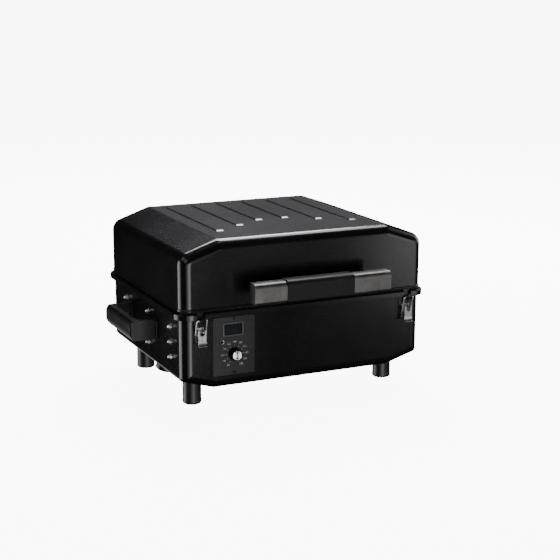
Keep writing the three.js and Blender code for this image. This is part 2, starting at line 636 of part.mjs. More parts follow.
// Funnel: two wedges crossed give the sloping part, below a straight bin.
function hopperForm(inset, z0, z1) {
  const { x0, x1, y0, y1, knee, bottom } = HOPPER;
  const inX = [x0 + inset, x1 - inset];
  const inY = [y0 + inset, y1 - inset];
  const across = new THREE.Shape();
  across.moveTo(-165 + inset, bottom - 1);
  across.lineTo(-115 - inset, bottom - 1);
  across.lineTo(inX[1], knee);
  across.lineTo(inX[1], z1);
  across.lineTo(inX[0], z1);
  across.lineTo(inX[0], knee);
  across.closePath();
  const along = new THREE.Shape();
  along.moveTo(AUGER.y - 20 + inset, bottom - 1);
  along.lineTo(AUGER.y + 20 - inset, bottom - 1);
  along.lineTo(inY[1], knee);
  along.lineTo(inY[1], z1);
  along.lineTo(inY[0], z1);
  along.lineTo(inY[0], knee);
  along.closePath();
  const form = alongY(across, y0, y1).intersect(alongX(along, x0, x1));
  return slice(form, z0, z1);
}
const hopperBin = cut(
  hopperForm(0, HOPPER.bottom, HOPPER.top),
  hopperForm(HOPPER.wall, HOPPER.bottom - 1, HOPPER.top + 1),
);
add('hopper_bin', hopperBin, 'steel');

function hopperLid() {
  const bottom = HOPPER.top + CLEAR;
  const top = bottom + HOPPER_LID.thick;
  const plate = block(HOPPER.x0 - 3, HOPPER_LID.axisX, HOPPER.y0 - 3, HOPPER.y1 + 3, bottom, top);
  const lip = cut(
    block(HOPPER.x0 - 3, HOPPER.x1 + 3, HOPPER.y0 - 3, HOPPER.y1 + 3, bottom - HOPPER_LID.lip, bottom + 0.5),
    block(
      HOPPER.x0 - 1.4, HOPPER.x1 + 4, HOPPER.y0 - 1.4, HOPPER.y1 + 1.4,
      bottom - HOPPER_LID.lip - 1, bottom),
  );
  const { axisX, axisZ, curl: radius } = HOPPER_LID;
  const curl = join(
    rodY(radius, axisX, HOPPER.y0 + 10, HOPPER.y1 - 10, axisZ, 12),
    block(axisX - 2, axisX + 1, HOPPER.y0 + 10, HOPPER.y1 - 10, bottom, top + 1),
  );
  const tab = block(HOPPER.x0 + 8, HOPPER.x0 + 20, 8, 48, top - 0.5, top + 7);
  return join(plate, lip, curl, tab);
}
add('hopper_lid', hopperLid(), 'paint');

const feedWindow = block(-164, -116, AUGER.y - 16, AUGER.y + 16, AUGER.z, AUGER.z + 40);
const augerTube = cut(
  rodX(TUBE.outer, TUBE.x0, TUBE.x1, AUGER.y, AUGER.z, 20),
  rodX(TUBE.inner, TUBE.x0 - 1, TUBE.x1 + 1, AUGER.y, AUGER.z, 20),
  feedWindow,
);
add('auger_tube', augerTube, 'steel');

// Auger: a shaft with one fin, extruded in steps and twisted once per pitch.
function augerScrew() {
  const length = AUGER.x1 - AUGER.x0;
  const section = new THREE.Shape();
  const fin = 0.36;
  const sides = 7;
  section.moveTo(AUGER.shaft * Math.cos(fin), AUGER.shaft * Math.sin(fin));
  for (let i = 1; i <= sides; i += 1) {
    const angle = fin + (i / sides) * (2 * Math.PI - 2 * fin);
    section.lineTo(AUGER.shaft * Math.cos(angle), AUGER.shaft * Math.sin(angle));
  }
  section.lineTo(AUGER.radius * Math.cos(fin), -AUGER.radius * Math.sin(fin) * 0.6);
  section.lineTo(AUGER.radius, 0);
  section.lineTo(AUGER.radius * Math.cos(fin), AUGER.radius * Math.sin(fin) * 0.6);
  section.closePath();
  const steps = Math.round((length / AUGER.pitch) * 8);
  const geometry = new THREE.ExtrudeGeometry(section, { depth: length, steps, bevelEnabled: false });
  const point = new THREE.Vector3();
  const position = geometry.attributes.position;
  const axis = new THREE.Vector3(0, 0, 1);
  for (let i = 0; i < position.count; i += 1) {
    point.fromBufferAttribute(position, i);
    point.applyAxisAngle(axis, (2 * Math.PI * point.z) / AUGER.pitch);
    position.setXYZ(i, point.x, point.y, point.z);
  }
  geometry.rotateY(Math.PI / 2);
  geometry.translate(AUGER.x0, AUGER.y, AUGER.z);
  return toSolid(geometry);
}
add('auger_screw', augerScrew(), 'steel');

const motorBox = join(
  block(-234, -200, -8, 48, 64, 110),
  rodX(17, -250, -233, AUGER.y, 92, 14),
);
add('auger_motor', motorBox, 'steel');

// ---- Combustion fan ----
function fanHousing() {
  const { x, y, radius, bottom, top } = FAN;
  const outside = join(
    rodZ(radius, x, y, bottom, top, 20),
    block(x, DIVIDER_X - SHEET - CLEAR, y - radius, y + 4, bottom, top),
  );
  const inside = join(
    rodZ(radius - 2, x, y, bottom + 2, top - 2, 20),
    block(x, DIVIDER_X, y - radius + 2, y + 2, bottom + 2, top - 2),
  );
  const intake = rodZ(15, x, y, bottom - 1, bottom + 3, 14);
  return cut(outside, inside, intake);
}
add('fan_housing', fanHousing(), 'plastic');

function fanImpeller() {
  const { x, y, impeller, blades } = FAN;
  const low = FAN.bottom + 5;
  const high = FAN.top - 5;
  let wheel = join(rodZ(8, x, y, low, high, 12), rodZ(impeller, x, y, high - 1.5, high, 18));
  for (let i = 0; i < blades; i += 1) {
    const blade = block(7, impeller - 1, -0.8, 0.8, low, high - 0.5);
    wheel = wheel.add(blade.rotate([0, 0, (360 * i) / blades]).translate([x, y, 0]));
  }
  return wheel;
}
add('fan_impeller', fanImpeller(), 'plastic');

// ---- Fire and cooking parts ----
function firePot() {
  const { x, y, radius, wall, bottom, top } = POT;
  const cup = cut(
    rodZ(radius, x, y, bottom, top, 20),
    rodZ(radius - wall, x, y, bottom + wall, top + 1, 20),
  );
  const feedHole = rodX(TUBE.outer + 0.6, x - radius - 5, x - 20, AUGER.y, AUGER.z, 20);
  const rodHole = rodY(5, x, y - radius - 5, y - 30, 66, 12);
  return cut(cup, feedHole, rodHole);
}
add('fire_pot', firePot(), 'steel');
add('igniter_rod', rodY(4.5, POT.x, POT.y - 90, POT.y - 32, 66, 12), 'steel');

function heatBaffle() {
  const outline = new THREE.Shape();
  outline.moveTo(-22, 48);
  outline.lineTo(-22, 124);
  outline.lineTo(70, 134);
  outline.lineTo(162, 124);
  outline.lineTo(162, 48);
  outline.lineTo(160.4, 48);
  outline.lineTo(160.4, 122.5);
  outline.lineTo(70, 132.4);
  outline.lineTo(-20.4, 122.5);
  outline.lineTo(-20.4, 48);
  outline.closePath();
  const bridge = alongY(outline, -72, 112);
  return cut(bridge, rodX(TUBE.outer + 2, -40, 0, AUGER.y, AUGER.z, 20));
}
add('heat_baffle', heatBaffle(), 'steel');

function dripTray() {
  const { x0, x1, halfDepth, bottom, top, wall } = TRAY;
  const corner = 12;
  const pan = (inset) => roundedShape([
    [x0 + inset, -halfDepth + inset, corner], [x1 - inset, -halfDepth + inset, corner],
    [x1 - inset, halfDepth - inset, corner], [x0 + inset, halfDepth - inset, corner]]);
  return cut(alongZ(pan(0), bottom, top, 3), alongZ(pan(wall), bottom + wall, top + 1, 3));
}
add('drip_tray', dripTray(), 'steel');

function cookingGrate() {
  const { x0, x1, halfDepth, bottom, rod: thick, bars } = GRATE;
  const top = bottom + thick;
  const frame = cut(
    block(x0, x1, -halfDepth, halfDepth, bottom, top),
    block(x0 + thick, x1 - thick, -halfDepth + thick, halfDepth - thick, bottom - 1, top + 1),
  );
  let grate = frame;
  for (let i = 1; i <= bars; i += 1) {
    const x = x0 + ((x1 - x0) * i) / (bars + 1);
    grate = grate.add(block(x - 2, x + 2, -halfDepth + 2, halfDepth - 2, bottom + 1, top));
  }
  for (const y of [-70, 70]) {
    grate = grate.add(block(x0 + 2, x1 - 2, y - 2.5, y + 2.5, bottom, top - 2));
  }
  return grate;
}
add('cooking_grate', cookingGrate(), 'enamel');

// Temperature probe: a sleeve through the divider and a rod along it.
const probeRod = join(
  rodX(3, DIVIDER_X - 6, DIVIDER_X + 9, -160, 168, 10),
  rodY(2.2, DIVIDER_X + 8, -160, -112, 168, 10),
);
add('temperature_probe', probeRod, 'zinc');

export default grill;
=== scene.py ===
"""Looks of the portable pellet smoker grill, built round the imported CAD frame.

Sizes are millimetres in the tub's own frame: X right, Y back, Z up, Y = 0 at the tub's middle.
A part is a pair of lists, points and faces. An outline is a list of (u, v) or (u, v, radius).
"""
from math import acos, atan2, cos, degrees, pi, radians, sin, tan

import bmesh
import bpy
from mathutils import Matrix, Vector


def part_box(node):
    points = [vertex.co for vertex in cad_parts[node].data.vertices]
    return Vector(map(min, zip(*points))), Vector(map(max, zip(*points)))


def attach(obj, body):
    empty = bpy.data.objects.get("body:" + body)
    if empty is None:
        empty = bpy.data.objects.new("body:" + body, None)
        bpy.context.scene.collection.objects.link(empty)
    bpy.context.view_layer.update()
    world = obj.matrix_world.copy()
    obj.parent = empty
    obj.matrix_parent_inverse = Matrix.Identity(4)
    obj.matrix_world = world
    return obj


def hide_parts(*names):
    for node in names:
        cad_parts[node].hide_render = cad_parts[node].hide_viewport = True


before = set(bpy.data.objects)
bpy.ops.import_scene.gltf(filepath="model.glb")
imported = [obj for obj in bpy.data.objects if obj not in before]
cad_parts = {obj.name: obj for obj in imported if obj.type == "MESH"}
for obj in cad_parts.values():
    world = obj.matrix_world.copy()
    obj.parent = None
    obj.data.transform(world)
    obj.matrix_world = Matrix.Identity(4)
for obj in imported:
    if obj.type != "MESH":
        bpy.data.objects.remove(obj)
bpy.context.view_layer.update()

lid_low, lid_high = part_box("lid_shell")
SHIFT = (lid_low.y + lid_high.y) / 2 * 1000  # the tub's middle in the row frame

SHEET = 1.6  # thickness of the folded sheet
EDGE = 20.0  # radius of the front and back edges of both skins
GAP = 0.3  # between a wall and what is fixed to it
LID_BEND, TUB_BEND = 24.0, 10.0
LID_HALF, LID_DEPTH = 260.0, 412.0
LID_FOOT, SHOULDER, LID_TOP, ROOF_HALF = 202.0, 307.0, 334.0, 181.0
TUB_HALF, TUB_DEPTH = 258.0, 408.0
TUB_TOP, CHINE, FLOOR_Z, FLOOR_HALF = 196.6, 64.0, 44.0, 190.0
LID_FRONT = -LID_DEPTH / 2
TUB_FRONT = -TUB_DEPTH / 2
LATCH_X, HINGE_X = 223.0, 150.0
SIDES = ((-1, "left"), (1, "right"))
NORMAL_WEIGHT = 60
NOISE_LOW, NOISE_HIGH = 0.3, 0.7

# Each pair is a slot of the frame and a key of LOOKS.
PAINT = ("black_paint", "paint")
PLASTIC = ("black_plastic", "plastic")
ZINC = ("bright_plating", "zinc")
STEEL = ("bare_steel", "steel")
HEATED = ("bare_steel", "heated")
KNOB = ("black_plastic", "knob")


# ---- geometry
def metres(p):
    return Vector((p[0] / 1000, (p[1] + SHIFT) / 1000, p[2] / 1000))


def rounded(corners, steps=6):
    """A closed outline whose corners (u, v, radius) are rounded off."""
    out = []
    count = len(corners)
    for i, corner in enumerate(corners):
        here = Vector(corner[:2])
        radius = corner[2] if len(corner) > 2 else 0
        if radius <= 0:
            out.append(tuple(here))
            continue
        back = (Vector(corners[i - 1][:2]) - here).normalized()
        ahead = (Vector(corners[(i + 1) % count][:2]) - here).normalized()
        half = acos(max(-1, min(1, back.dot(ahead)))) / 2
        centre = here + (back + ahead).normalized() * (radius / sin(half))
        first = here + back * (radius / tan(half)) - centre
        last = here + ahead * (radius / tan(half)) - centre
        start = atan2(first.y, first.x)
        turn = atan2(last.y, last.x) - start
        turn = (turn + pi) % (2 * pi) - pi
        for k in range(steps + 1):
            a = start + turn * k / steps
            out.append((centre.x + radius * cos(a), centre.y + radius * sin(a)))
    return out


def prism(outline, axis, low, high):
    """Pushes an outline along X (outline in Y, Z), Y (in X, Z) or Z (in X, Y)."""
    place = {
        "x": lambda u, v, w: (w, u, v),
        "y": lambda u, v, w: (u, w, v),
        "z": lambda u, v, w: (u, v, w),
    }[axis]
    n = len(outline)
    verts = [place(u, v, low) for u, v in outline] + [place(u, v, high) for u, v in outline]
    faces = [[i, (i + 1) % n, n + (i + 1) % n, n + i] for i in range(n)]
    faces += [list(range(n))[::-1], list(range(n, 2 * n))]
    return verts, faces


def block(x0, x1, y0, y1, z0, z1):
    return prism([(x0, y0), (x1, y0), (x1, y1), (x0, y1)], "z", z0, z1)


def rectangle(u0, u1, v0, v1, low, high=None):
    """An outline with rounded corners: radius low at v0, and high, or the same, at v1."""
    high = low if high is None else high
    return rounded([(u0, v0, low), (u1, v0, low), (u1, v1, high), (u0, v1, high)])


def lathe(profile, axis, centre, sides=48):
    """Turns a profile of (radius, along) about an axis through a centre."""
    place = {
        "x": lambda r, c, s, h: (h, r * c, r * s),
        "y": lambda r, c, s, h: (r * c, h, r * s),
        "z": lambda r, c, s, h: (r * c, r * s, h),
    }[axis]
    verts, faces, rows = [], [], []
    for radius, along in profile:
        if radius < 1e-6:
            rows.append([len(verts)])
            verts.append(place(0, 1, 0, along))
            continue
        row = []
        for i in range(sides):
            a = 2 * pi * i / sides
            row.append(len(verts))
            verts.append(place(radius, cos(a), sin(a), along))
        rows.append(row)
    pairs = list(zip(rows, rows[1:]))
    if profile[0][0] > 1e-6 and profile[-1][0] > 1e-6:
        pairs.append((rows[-1], rows[0]))
    for a, b in pairs:
        for i in range(sides):
            j = (i + 1) % sides
            quad = [a[i % len(a)], a[j % len(a)], b[j % len(b)], b[i % len(b)]]
            face = []
            for v in quad:
                if v not in face:
                    face.append(v)
            if len(face) > 2:
                faces.append(face)
    verts = [tuple(p + q for p, q in zip(v, centre)) for v in verts]
    return verts, faces


def cylinder(radius, low, high, axis, centre, sides):
    return lathe([(0, low), (radius, low), (radius, high), (0, high)], axis, centre, sides)


def tube(path, radius, sides=12, closed=False):
    """A round wire along a path of points."""
    pts = [Vector(p) for p in path]
    n = len(pts)
    verts, faces = [], []
    normal = None
    for i, p in enumerate(pts):
        before = pts[i - 1] if closed or i > 0 else p
        after = pts[(i + 1) % n] if closed or i < n - 1 else p
        along = (after - before).normalized()
        if normal is None:
            normal = along.orthogonal().normalized()
        normal = (normal - along * normal.dot(along)).normalized()
        side = along.cross(normal)
        for k in range(sides):
            a = 2 * pi * k / sides
            verts.append(tuple(p + (normal * cos(a) + side * sin(a)) * radius))
    spans = n if closed else n - 1
    for i in range(spans):
        j = (i + 1) % n
        for k in range(sides):
            m = (k + 1) % sides
            faces.append([i * sides + k, i * sides + m, j * sides + m, j * sides + k])
    if not closed:
        faces.append(list(range(sides))[::-1])
        faces.append([(n - 1) * sides + k for k in range(sides)])
    return verts, faces


def bent(points, radius, steps=5):
    """Rounds the corners of an open 3-D path."""
    pts = [Vector(p) for p in points]
    out = [pts[0]]
    for a, b, c in zip(pts, pts[1:], pts[2:]):
        back, ahead = (a - b).normalized(), (c - b).normalized()
        start, end = b + back * radius, b + ahead * radius
        for k in range(steps + 1):
            t = k / steps
            out.append(start * (1 - t) ** 2 + b * 2 * t * (1 - t) + end * t ** 2)
    out.append(pts[-1])
    return out


def merged(*parts):
    verts, faces = [], []
    for v, f in parts:
        base = len(verts)
        verts += v
        faces += [[i + base for i in face] for face in f]
    return verts, faces


def turned(part, axis, angle, centre):
    turn = Matrix.Rotation(radians(angle), 3, axis)
    c = Vector(centre)
    return [tuple(turn @ (Vector(v) - c) + c) for v in part[0]], part[1]


def moved(part, dx=0, dy=0, dz=0):
    return [(x + dx, y + dy, z + dz) for x, y, z in part[0]], part[1]


def mirrored(part):
    return [(-x, y, z) for x, y, z in part[0]], [f[::-1] for f in part[1]]


def placed(name, data):
    """An object in the scene."""
    obj = bpy.data.objects.new(name, data)
    bpy.context.scene.collection.objects.link(obj)
    return obj


def mesh_object(name, part):
    verts, faces = part
    mesh = bpy.data.meshes.new(name)
    mesh.from_pydata([metres(v) for v in verts], [], faces)
    bm = bmesh.new()
    bm.from_mesh(mesh)
    bmesh.ops.recalc_face_normals(bm, faces=bm.faces)
    bm.to_mesh(mesh)
    bm.free()
    return placed(name, mesh)


def settle(obj):
    """Applies an object's modifiers."""
    graph = bpy.context.evaluated_depsgraph_get()
    mesh = bpy.data.meshes.new_from_object(obj.evaluated_get(graph), depsgraph=graph)
    old = obj.data
    obj.modifiers.clear()
    obj.data = mesh
    bpy.data.meshes.remove(old)


def soften(obj, width, angle=30, segments=2):
    bevel = obj.modifiers.new("bevel", "BEVEL")
    bevel.width = width / 1000
    bevel.segments = segments
    bevel.limit_method = "ANGLE"
    bevel.angle_limit = radians(angle)
    bevel.use_clamp_overlap = True
    settle(obj)


def cut(obj, *parts):
    tool = mesh_object("tool", merged(*parts))
    boolean = obj.modifiers.new("cut", "BOOLEAN")
    boolean.object = tool
    boolean.solver = "EXACT"
    boolean.use_self = True
    settle(obj)
    bpy.data.objects.remove(tool)


def finished(obj, body, nodes, look, angle, weight):
    """Sets an object's normals, material and place in the frame."""
    obj.data.shade_smooth()
    obj.data.set_sharp_from_angle(angle=radians(angle))
    normals = obj.modifiers.new("normals", "WEIGHTED_NORMAL")
    normals.keep_sharp = True
    normals.weight = weight
    settle(obj)
    obj.data.materials.clear()
    obj.data.materials.append(LOOKS[look])
    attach(obj, body)
    if nodes:
        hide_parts(*nodes)


def piece(name, part, body, nodes, slot, look, bevel=0, angle=35, cuts=(), segments=2):
    """Makes a finished piece out of a part, less its cuts, with softened edges."""
    obj = mesh_object(name, part)
    if cuts:
        cut(obj, *cuts)
    if bevel:
        soften(obj, bevel, angle, segments)
    finished(obj, body, nodes, look, angle, NORMAL_WEIGHT)


def refined(name, node, body, slot, look, bevel):
    """Makes a finished piece out of a CAD node's own outline, with its edges eased."""
    obj = placed(name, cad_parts[node].data.copy())
    bm = bmesh.new()
    bm.from_mesh(obj.data)
    bmesh.ops.remove_doubles(bm, verts=bm.verts, dist=2e-6)
    bmesh.ops.dissolve_limit(bm, angle_limit=radians(1), verts=bm.verts, edges=bm.edges)
    bm.to_mesh(obj.data)
    bm.free()
    soften(obj, bevel)
    finished(obj, body, [node], look, 35, 50)


# ---- materials
def new_material(name):
    mat = bpy.data.materials.new(name)
    mat.use_nodes = True
    return mat, mat.node_tree, mat.node_tree.nodes["Principled BSDF"]


def set_inputs(node, values):
    for name, value in values.items():
        node.inputs[name].default_value = value


def add_node(tree, kind, source, target, values):
    """Adds a node, sets its inputs, and links a source to one of them."""
    node = tree.nodes.new(kind)
    set_inputs(node, values)
    tree.links.new(source, node.inputs[target])
    return node


def noise(tree, coords, stretch, scale, detail):
    mapping = add_node(tree, "ShaderNodeMapping", coords, "Vector", {"Scale": stretch})
    return add_node(tree, "ShaderNodeTexNoise", mapping.outputs["Vector"], "Vector", {
        "Scale": scale, "Detail": detail, "Roughness": 0.55}).outputs["Fac"]


def spread(tree, value, low, high):
    """Stretches the middle of a noise's range to low and high."""
    return add_node(tree, "ShaderNodeMapRange", value, "Value", {
        "From Min": NOISE_LOW, "From Max": NOISE_HIGH, "To Min": low, "To Max": high,
    }).outputs["Result"]


def surface(name, dark, light, rough, metallic=0, specular=0.5, grain=600, relief=3e-5, patch=9,
            stretch=(1, 1, 1), strength=0.5, speckle=0.04):
    """A surface whose colour drifts, whose gloss varies in patches, and that has a fine grain."""
    mat, tree, shader = new_material(name)
    coords = tree.nodes.new("ShaderNodeTexCoord").outputs["Object"]
    drift = noise(tree, coords, (1, 1, 1), patch, 4)
    fine = noise(tree, coords, stretch, grain, 2)
    ramp = add_node(tree, "ShaderNodeValToRGB", drift, "Fac", {})
    stops = ((NOISE_LOW, dark), (NOISE_HIGH, light))
    for stop, (place, colour) in zip(ramp.color_ramp.elements, stops):
        stop.position = place
        stop.color = (*colour, 1)
    tree.links.new(ramp.outputs["Color"], shader.inputs["Base Color"])
    mix = tree.nodes.new("ShaderNodeMath")
    mix.operation = "ADD"
    tree.links.new(spread(tree, drift, *rough), mix.inputs[0])
    tree.links.new(spread(tree, fine, -speckle, speckle), mix.inputs[1])
    tree.links.new(mix.outputs["Value"], shader.inputs["Roughness"])
    set_inputs(shader, {"Metallic": metallic, "Specular IOR Level": specular})
    bump = add_node(tree, "ShaderNodeBump", fine, "Height", {
        "Strength": strength, "Distance": relief})
    tree.links.new(bump.outputs["Normal"], shader.inputs["Normal"])
    return mat


LOOKS = {
    "paint": surface("powder_coat_black", (0.004, 0.004, 0.0044), (0.0062, 0.0062, 0.0068),
                     (0.17, 0.22), specular=0.4, grain=120, relief=2e-5, patch=6,
                     strength=0.25, speckle=0.01),
    "plastic": surface("moulded_plastic_black", (0.003, 0.003, 0.0033), (0.005, 0.005, 0.0054),
                       (0.3, 0.38), specular=0.28, grain=1500, relief=4e-5, patch=14),
    "panel": surface("panel_film_black", (0.0066, 0.0066, 0.007), (0.0094, 0.0094, 0.0099),
                     (0.32, 0.38), specular=0.36, grain=2200, relief=4e-5, patch=16),
    "bezel": surface("bezel_grey", (0.055, 0.057, 0.062), (0.075, 0.077, 0.083),
                     (0.25, 0.32), grain=1800, relief=2e-5, patch=30),
    "stainless": surface("stainless_brushed", (0.092, 0.089, 0.086), (0.145, 0.141, 0.134),
                         (0.4, 0.48), metallic=1, grain=420, relief=2e-6, patch=30,
                         stretch=(1, 1, 0.05), speckle=0.02),
    "zinc": surface("zinc_bright", (0.3, 0.3, 0.305), (0.42, 0.42, 0.42), (0.27, 0.34),
                    metallic=1, grain=240, relief=4e-6, patch=70, speckle=0.02),
    "wire": surface("wire_bright", (0.7, 0.7, 0.7), (0.85, 0.85, 0.84), (0.3, 0.38),
                    metallic=1, grain=700, relief=4e-6, patch=60, speckle=0.02),
    "steel": surface("steel_mill", (0.26, 0.255, 0.25), (0.34, 0.335, 0.33), (0.38, 0.52),
                     metallic=1, grain=260, relief=5e-5, patch=18, stretch=(1, 0.12, 1)),
    "heated": surface("steel_heat_tinted", (0.16, 0.13, 0.11), (0.27, 0.24, 0.22), (0.45, 0.62),
                      metallic=1, grain=320, relief=8e-5, patch=26),
    "enamel": surface("porcelain_enamel", (0.008, 0.008, 0.009), (0.014, 0.014, 0.016),
                      (0.18, 0.3), grain=300, relief=4e-5, patch=30),
    "felt": surface("gasket_felt", (0.02, 0.02, 0.021), (0.05, 0.05, 0.052), (0.85, 0.95),
                    specular=0.15, grain=1300, relief=4e-4, patch=80, strength=1),
    "foot": surface("foot_black", (0.006, 0.006, 0.0065), (0.01, 0.01, 0.0105), (0.34, 0.42),
                    specular=0.4, grain=900, relief=3e-5, patch=20),
    "grip": surface("grip_rubber", (0.0035, 0.0038, 0.0045), (0.006, 0.0064, 0.0074),
                    (0.42, 0.52), specular=0.2, grain=1400, relief=6e-5, patch=18),
    "knob": surface("knob_black", (0.002, 0.002, 0.0022), (0.0032, 0.0032, 0.0034), (0.4, 0.48),
                    specular=0.16, grain=900, relief=2e-5, patch=40),
    "bright": surface("turned_bright", (0.84, 0.84, 0.84), (0.95, 0.95, 0.95), (0.24, 0.3),
                      metallic=1, grain=1200, relief=5e-6, patch=60),
    "post": surface("post_dark_steel", (0.03, 0.03, 0.031), (0.05, 0.05, 0.052), (0.35, 0.45),
                    metallic=0.6, grain=700, relief=3e-5, patch=30),
    "screw": surface("screw_black_oxide", (0.02, 0.02, 0.021), (0.04, 0.04, 0.042), (0.3, 0.4),
                     metallic=0.8, grain=900, relief=3e-5, patch=60),
    "lens": surface("display_lens", (0.012, 0.0138, 0.0175), (0.015, 0.0172, 0.0215),
                    (0.08, 0.12), grain=900, relief=5e-6, patch=30),
    "ink": surface("printed_ink", (0.42, 0.42, 0.42), (0.55, 0.55, 0.55), (0.5, 0.6),
                   specular=0.3, grain=2000, relief=1e-5, patch=50),
    "segment": surface("display_segment", (0.015, 0.0172, 0.0215), (0.018, 0.0205, 0.0255),
                       (0.14, 0.2), grain=900, relief=5e-6, patch=30),
    "dark": surface("dark_recess", (0.002, 0.002, 0.002), (0.004, 0.004, 0.004), (0.7, 0.8),
                    specular=0.2, grain=900, relief=1e-5, patch=30),
}


# ---- lid and tub skins
def fillet_rows(depth, out, steps=12):
    """(inset, y) of each row of a form with rounded front and back edges, grown by out."""
    front = -depth / 2 + EDGE
    rows = []
    for k in range(steps + 1):
        a = radians(90 * k / steps)
        rows.append((EDGE - (EDGE + out) * sin(a), front - (EDGE + out) * cos(a)))
    return rows + [(inset, -y) for inset, y in rows[::-1]]


def bend_arcs(points, bend, steps=10):
    """The rounded inner corners of an open outline.

    Each is (corner, way in, slant, radius, start, turn, steps).
    """
    arcs = []
    for a, b, c in zip(points, points[1:], points[2:]):
        here = Vector(b)
        back, ahead = (Vector(a) - here).normalized(), (Vector(c) - here).normalized()
        half = acos(back.dot(ahead)) / 2
        inward = (back + ahead).normalized()
        first = back / tan(half) - inward / sin(half)
        last = ahead / tan(half) - inward / sin(half)
        start = atan2(first.y, first.x)
        turn = (atan2(last.y, last.x) - start + pi) % (2 * pi) - pi
        arcs.append((here, inward, sin(half), bend, start, turn, steps))
    return arcs


def cap_grid(half, arcs, depth, mouth_z, out):
    """Rows of points over the closed side of a shell, from its left mouth edge to its right."""
    tightest = 0.4
    grid = []
    for inset, y in fillet_rows(depth, out):
        row = [(-(half - inset), y, mouth_z)]
        for corner, inward, slant, bend, start, turn, steps in arcs:
            radius = max(bend - inset, tightest)
            centre = corner + inward * ((inset + radius) / slant)
            for k in range(steps + 1):
                a = start + turn * k / steps
                row.append((centre.x + radius * cos(a), y, centre.y + radius * sin(a)))
        row.append((half - inset, y, mouth_z))
        grid.append(row)
    return grid


def loop_at(half, depth, z, out):
    """The plan loop of the walls at height z, grown by out."""
    rows = fillet_rows(depth, out)
    left = [(-(half - inset), y, z) for inset, y in rows]
    right = [(half - inset, y, z) for inset, y in rows]
    return left + right[::-1]


def band(a, b):
    """The faces between two loops of as many points."""
    count = len(a)
    return [[a[i], a[(i + 1) % count], b[(i + 1) % count], b[i]] for i in range(count)]


def shell(half, depth, outline, bend, mouth_z, section):
    """A sheet-metal shell. Its mouth follows (z, out) rows from the outer to the inner wall."""
    arcs = bend_arcs(outline, bend)
    verts, faces, loops = [], [], []

    def add_cap(out):
        """Adds one side of the sheet and returns the loop of points at its mouth."""
        grid = cap_grid(half, arcs, depth, mouth_z, out)
        first, rows, wide = len(verts), len(grid), len(grid[0])
        verts.extend(p for row in grid for p in row)
        for i in range(rows - 1):
            for j in range(wide - 1):
                a = first + i * wide + j
                faces.append([a, a + 1, a + wide + 1, a + wide])
        faces.append([first + j for j in range(wide)])
        faces.append([first + (rows - 1) * wide + j for j in range(wide)])
        left = [first + i * wide for i in range(rows)]
        return left + [a + wide - 1 for a in left[::-1]]

    loops.append(add_cap(0))
    for z, out in section:
        first = len(verts)
        verts += loop_at(half, depth, z, out)
        loops.append(list(range(first, len(verts))))
    loops.append(add_cap(-SHEET))
    for a, b in zip(loops, loops[1:]):
        faces += band(a, b)
    return verts, faces


def ring(half, depth, section):
    """A closed ring that follows the walls, with a closed section of (z, out) points."""
    verts, faces, loops = [], [], []
    for z, out in section:
        first = len(verts)
        verts += loop_at(half, depth, z, out)
        loops.append(list(range(first, len(verts))))
    for a, b in zip(loops, loops[1:] + loops[:1]):
        faces += band(a, b)
    return verts, faces


LID_MOUTH, TUB_MOUTH, MOUTH_STEP = 262.0, 120.0, 2.0  # where the skins' own rows begin
lid_outline = [(-LID_HALF, LID_FOOT), (-LID_HALF, SHOULDER), (-ROOF_HALF, LID_TOP),
               (ROOF_HALF, LID_TOP), (LID_HALF, SHOULDER), (LID_HALF, LID_FOOT)]
hem = [(LID_MOUTH - MOUTH_STEP, 0), (208.0, 0), (206.9, 0.1), (206.2, 0.45), (205.6, 1.0),
       (204.8, 1.4), (203.9, 1.5), (203.0, 1.5), (202.4, 1.2), (202.05, 0.6), (202.0, -0.4),
       (202.0, -11.4), (202.3, -11.9), (203.2, -12.0), (203.6, -11.5), (203.6, -2.8),
       (203.9, -2.0), (204.8, -1.65), (208.0, -1.6), (LID_MOUTH - MOUTH_STEP, -SHEET)]
vents = [prism(rectangle(x - 22, x + 22, 222, 225.5, 1.7), "y", 200, 212)
         for x in (-120, -60, 0, 60, 120)]
notches = [block(x - 24, x + 24, 206, 212, 201, 207) for x in (-HINGE_X, HINGE_X)]
piece("lid_skin", shell(LID_HALF, LID_DEPTH, lid_outline, LID_BEND, LID_MOUTH, hem),
      "lid", ["lid_shell"], *PAINT, cuts=[*vents, *notches], angle=28)


def roof_rib(x, front, back=160.0):
    """A rib pressed up out of the roof, with sloping sides and a longer slope at each end."""
    foot, crest, rise, sunk, front_slope, back_slope = 7.4, 5.9, 1.6, 0.4, 6, 4
    y0, y1 = front + front_slope, back - back_slope
    low = [(x - foot, front), (x + foot, front), (x + foot, back), (x - foot, back)]
    high = [(x - crest, y0), (x + crest, y0), (x + crest, y1), (x - crest, y1)]
    verts = [(u, v, LID_TOP - sunk) for u, v in low] + [(u, v, LID_TOP) for u, v in low]
    verts += [(u, v, LID_TOP + rise) for u, v in high]
    faces = [[3, 2, 1, 0], [8, 9, 10, 11]]
    for k in range(4):
        m = (k + 1) % 4
        faces += [[k, m, 4 + m, 4 + k], [4 + k, 4 + m, 8 + m, 8 + k]]
    return verts, faces


RIB_PITCH = 58.0
rib_places = [k - 2.5 for k in range(6)]
roof_ribs = [roof_rib(RIB_PITCH * k, -(29.5 + 37 * abs(k))) for k in rib_places]
piece("roof_ribs", merged(*roof_ribs), "lid", ["lid_shell"], *PAINT, bevel=0.55, angle=10,
      segments=3)

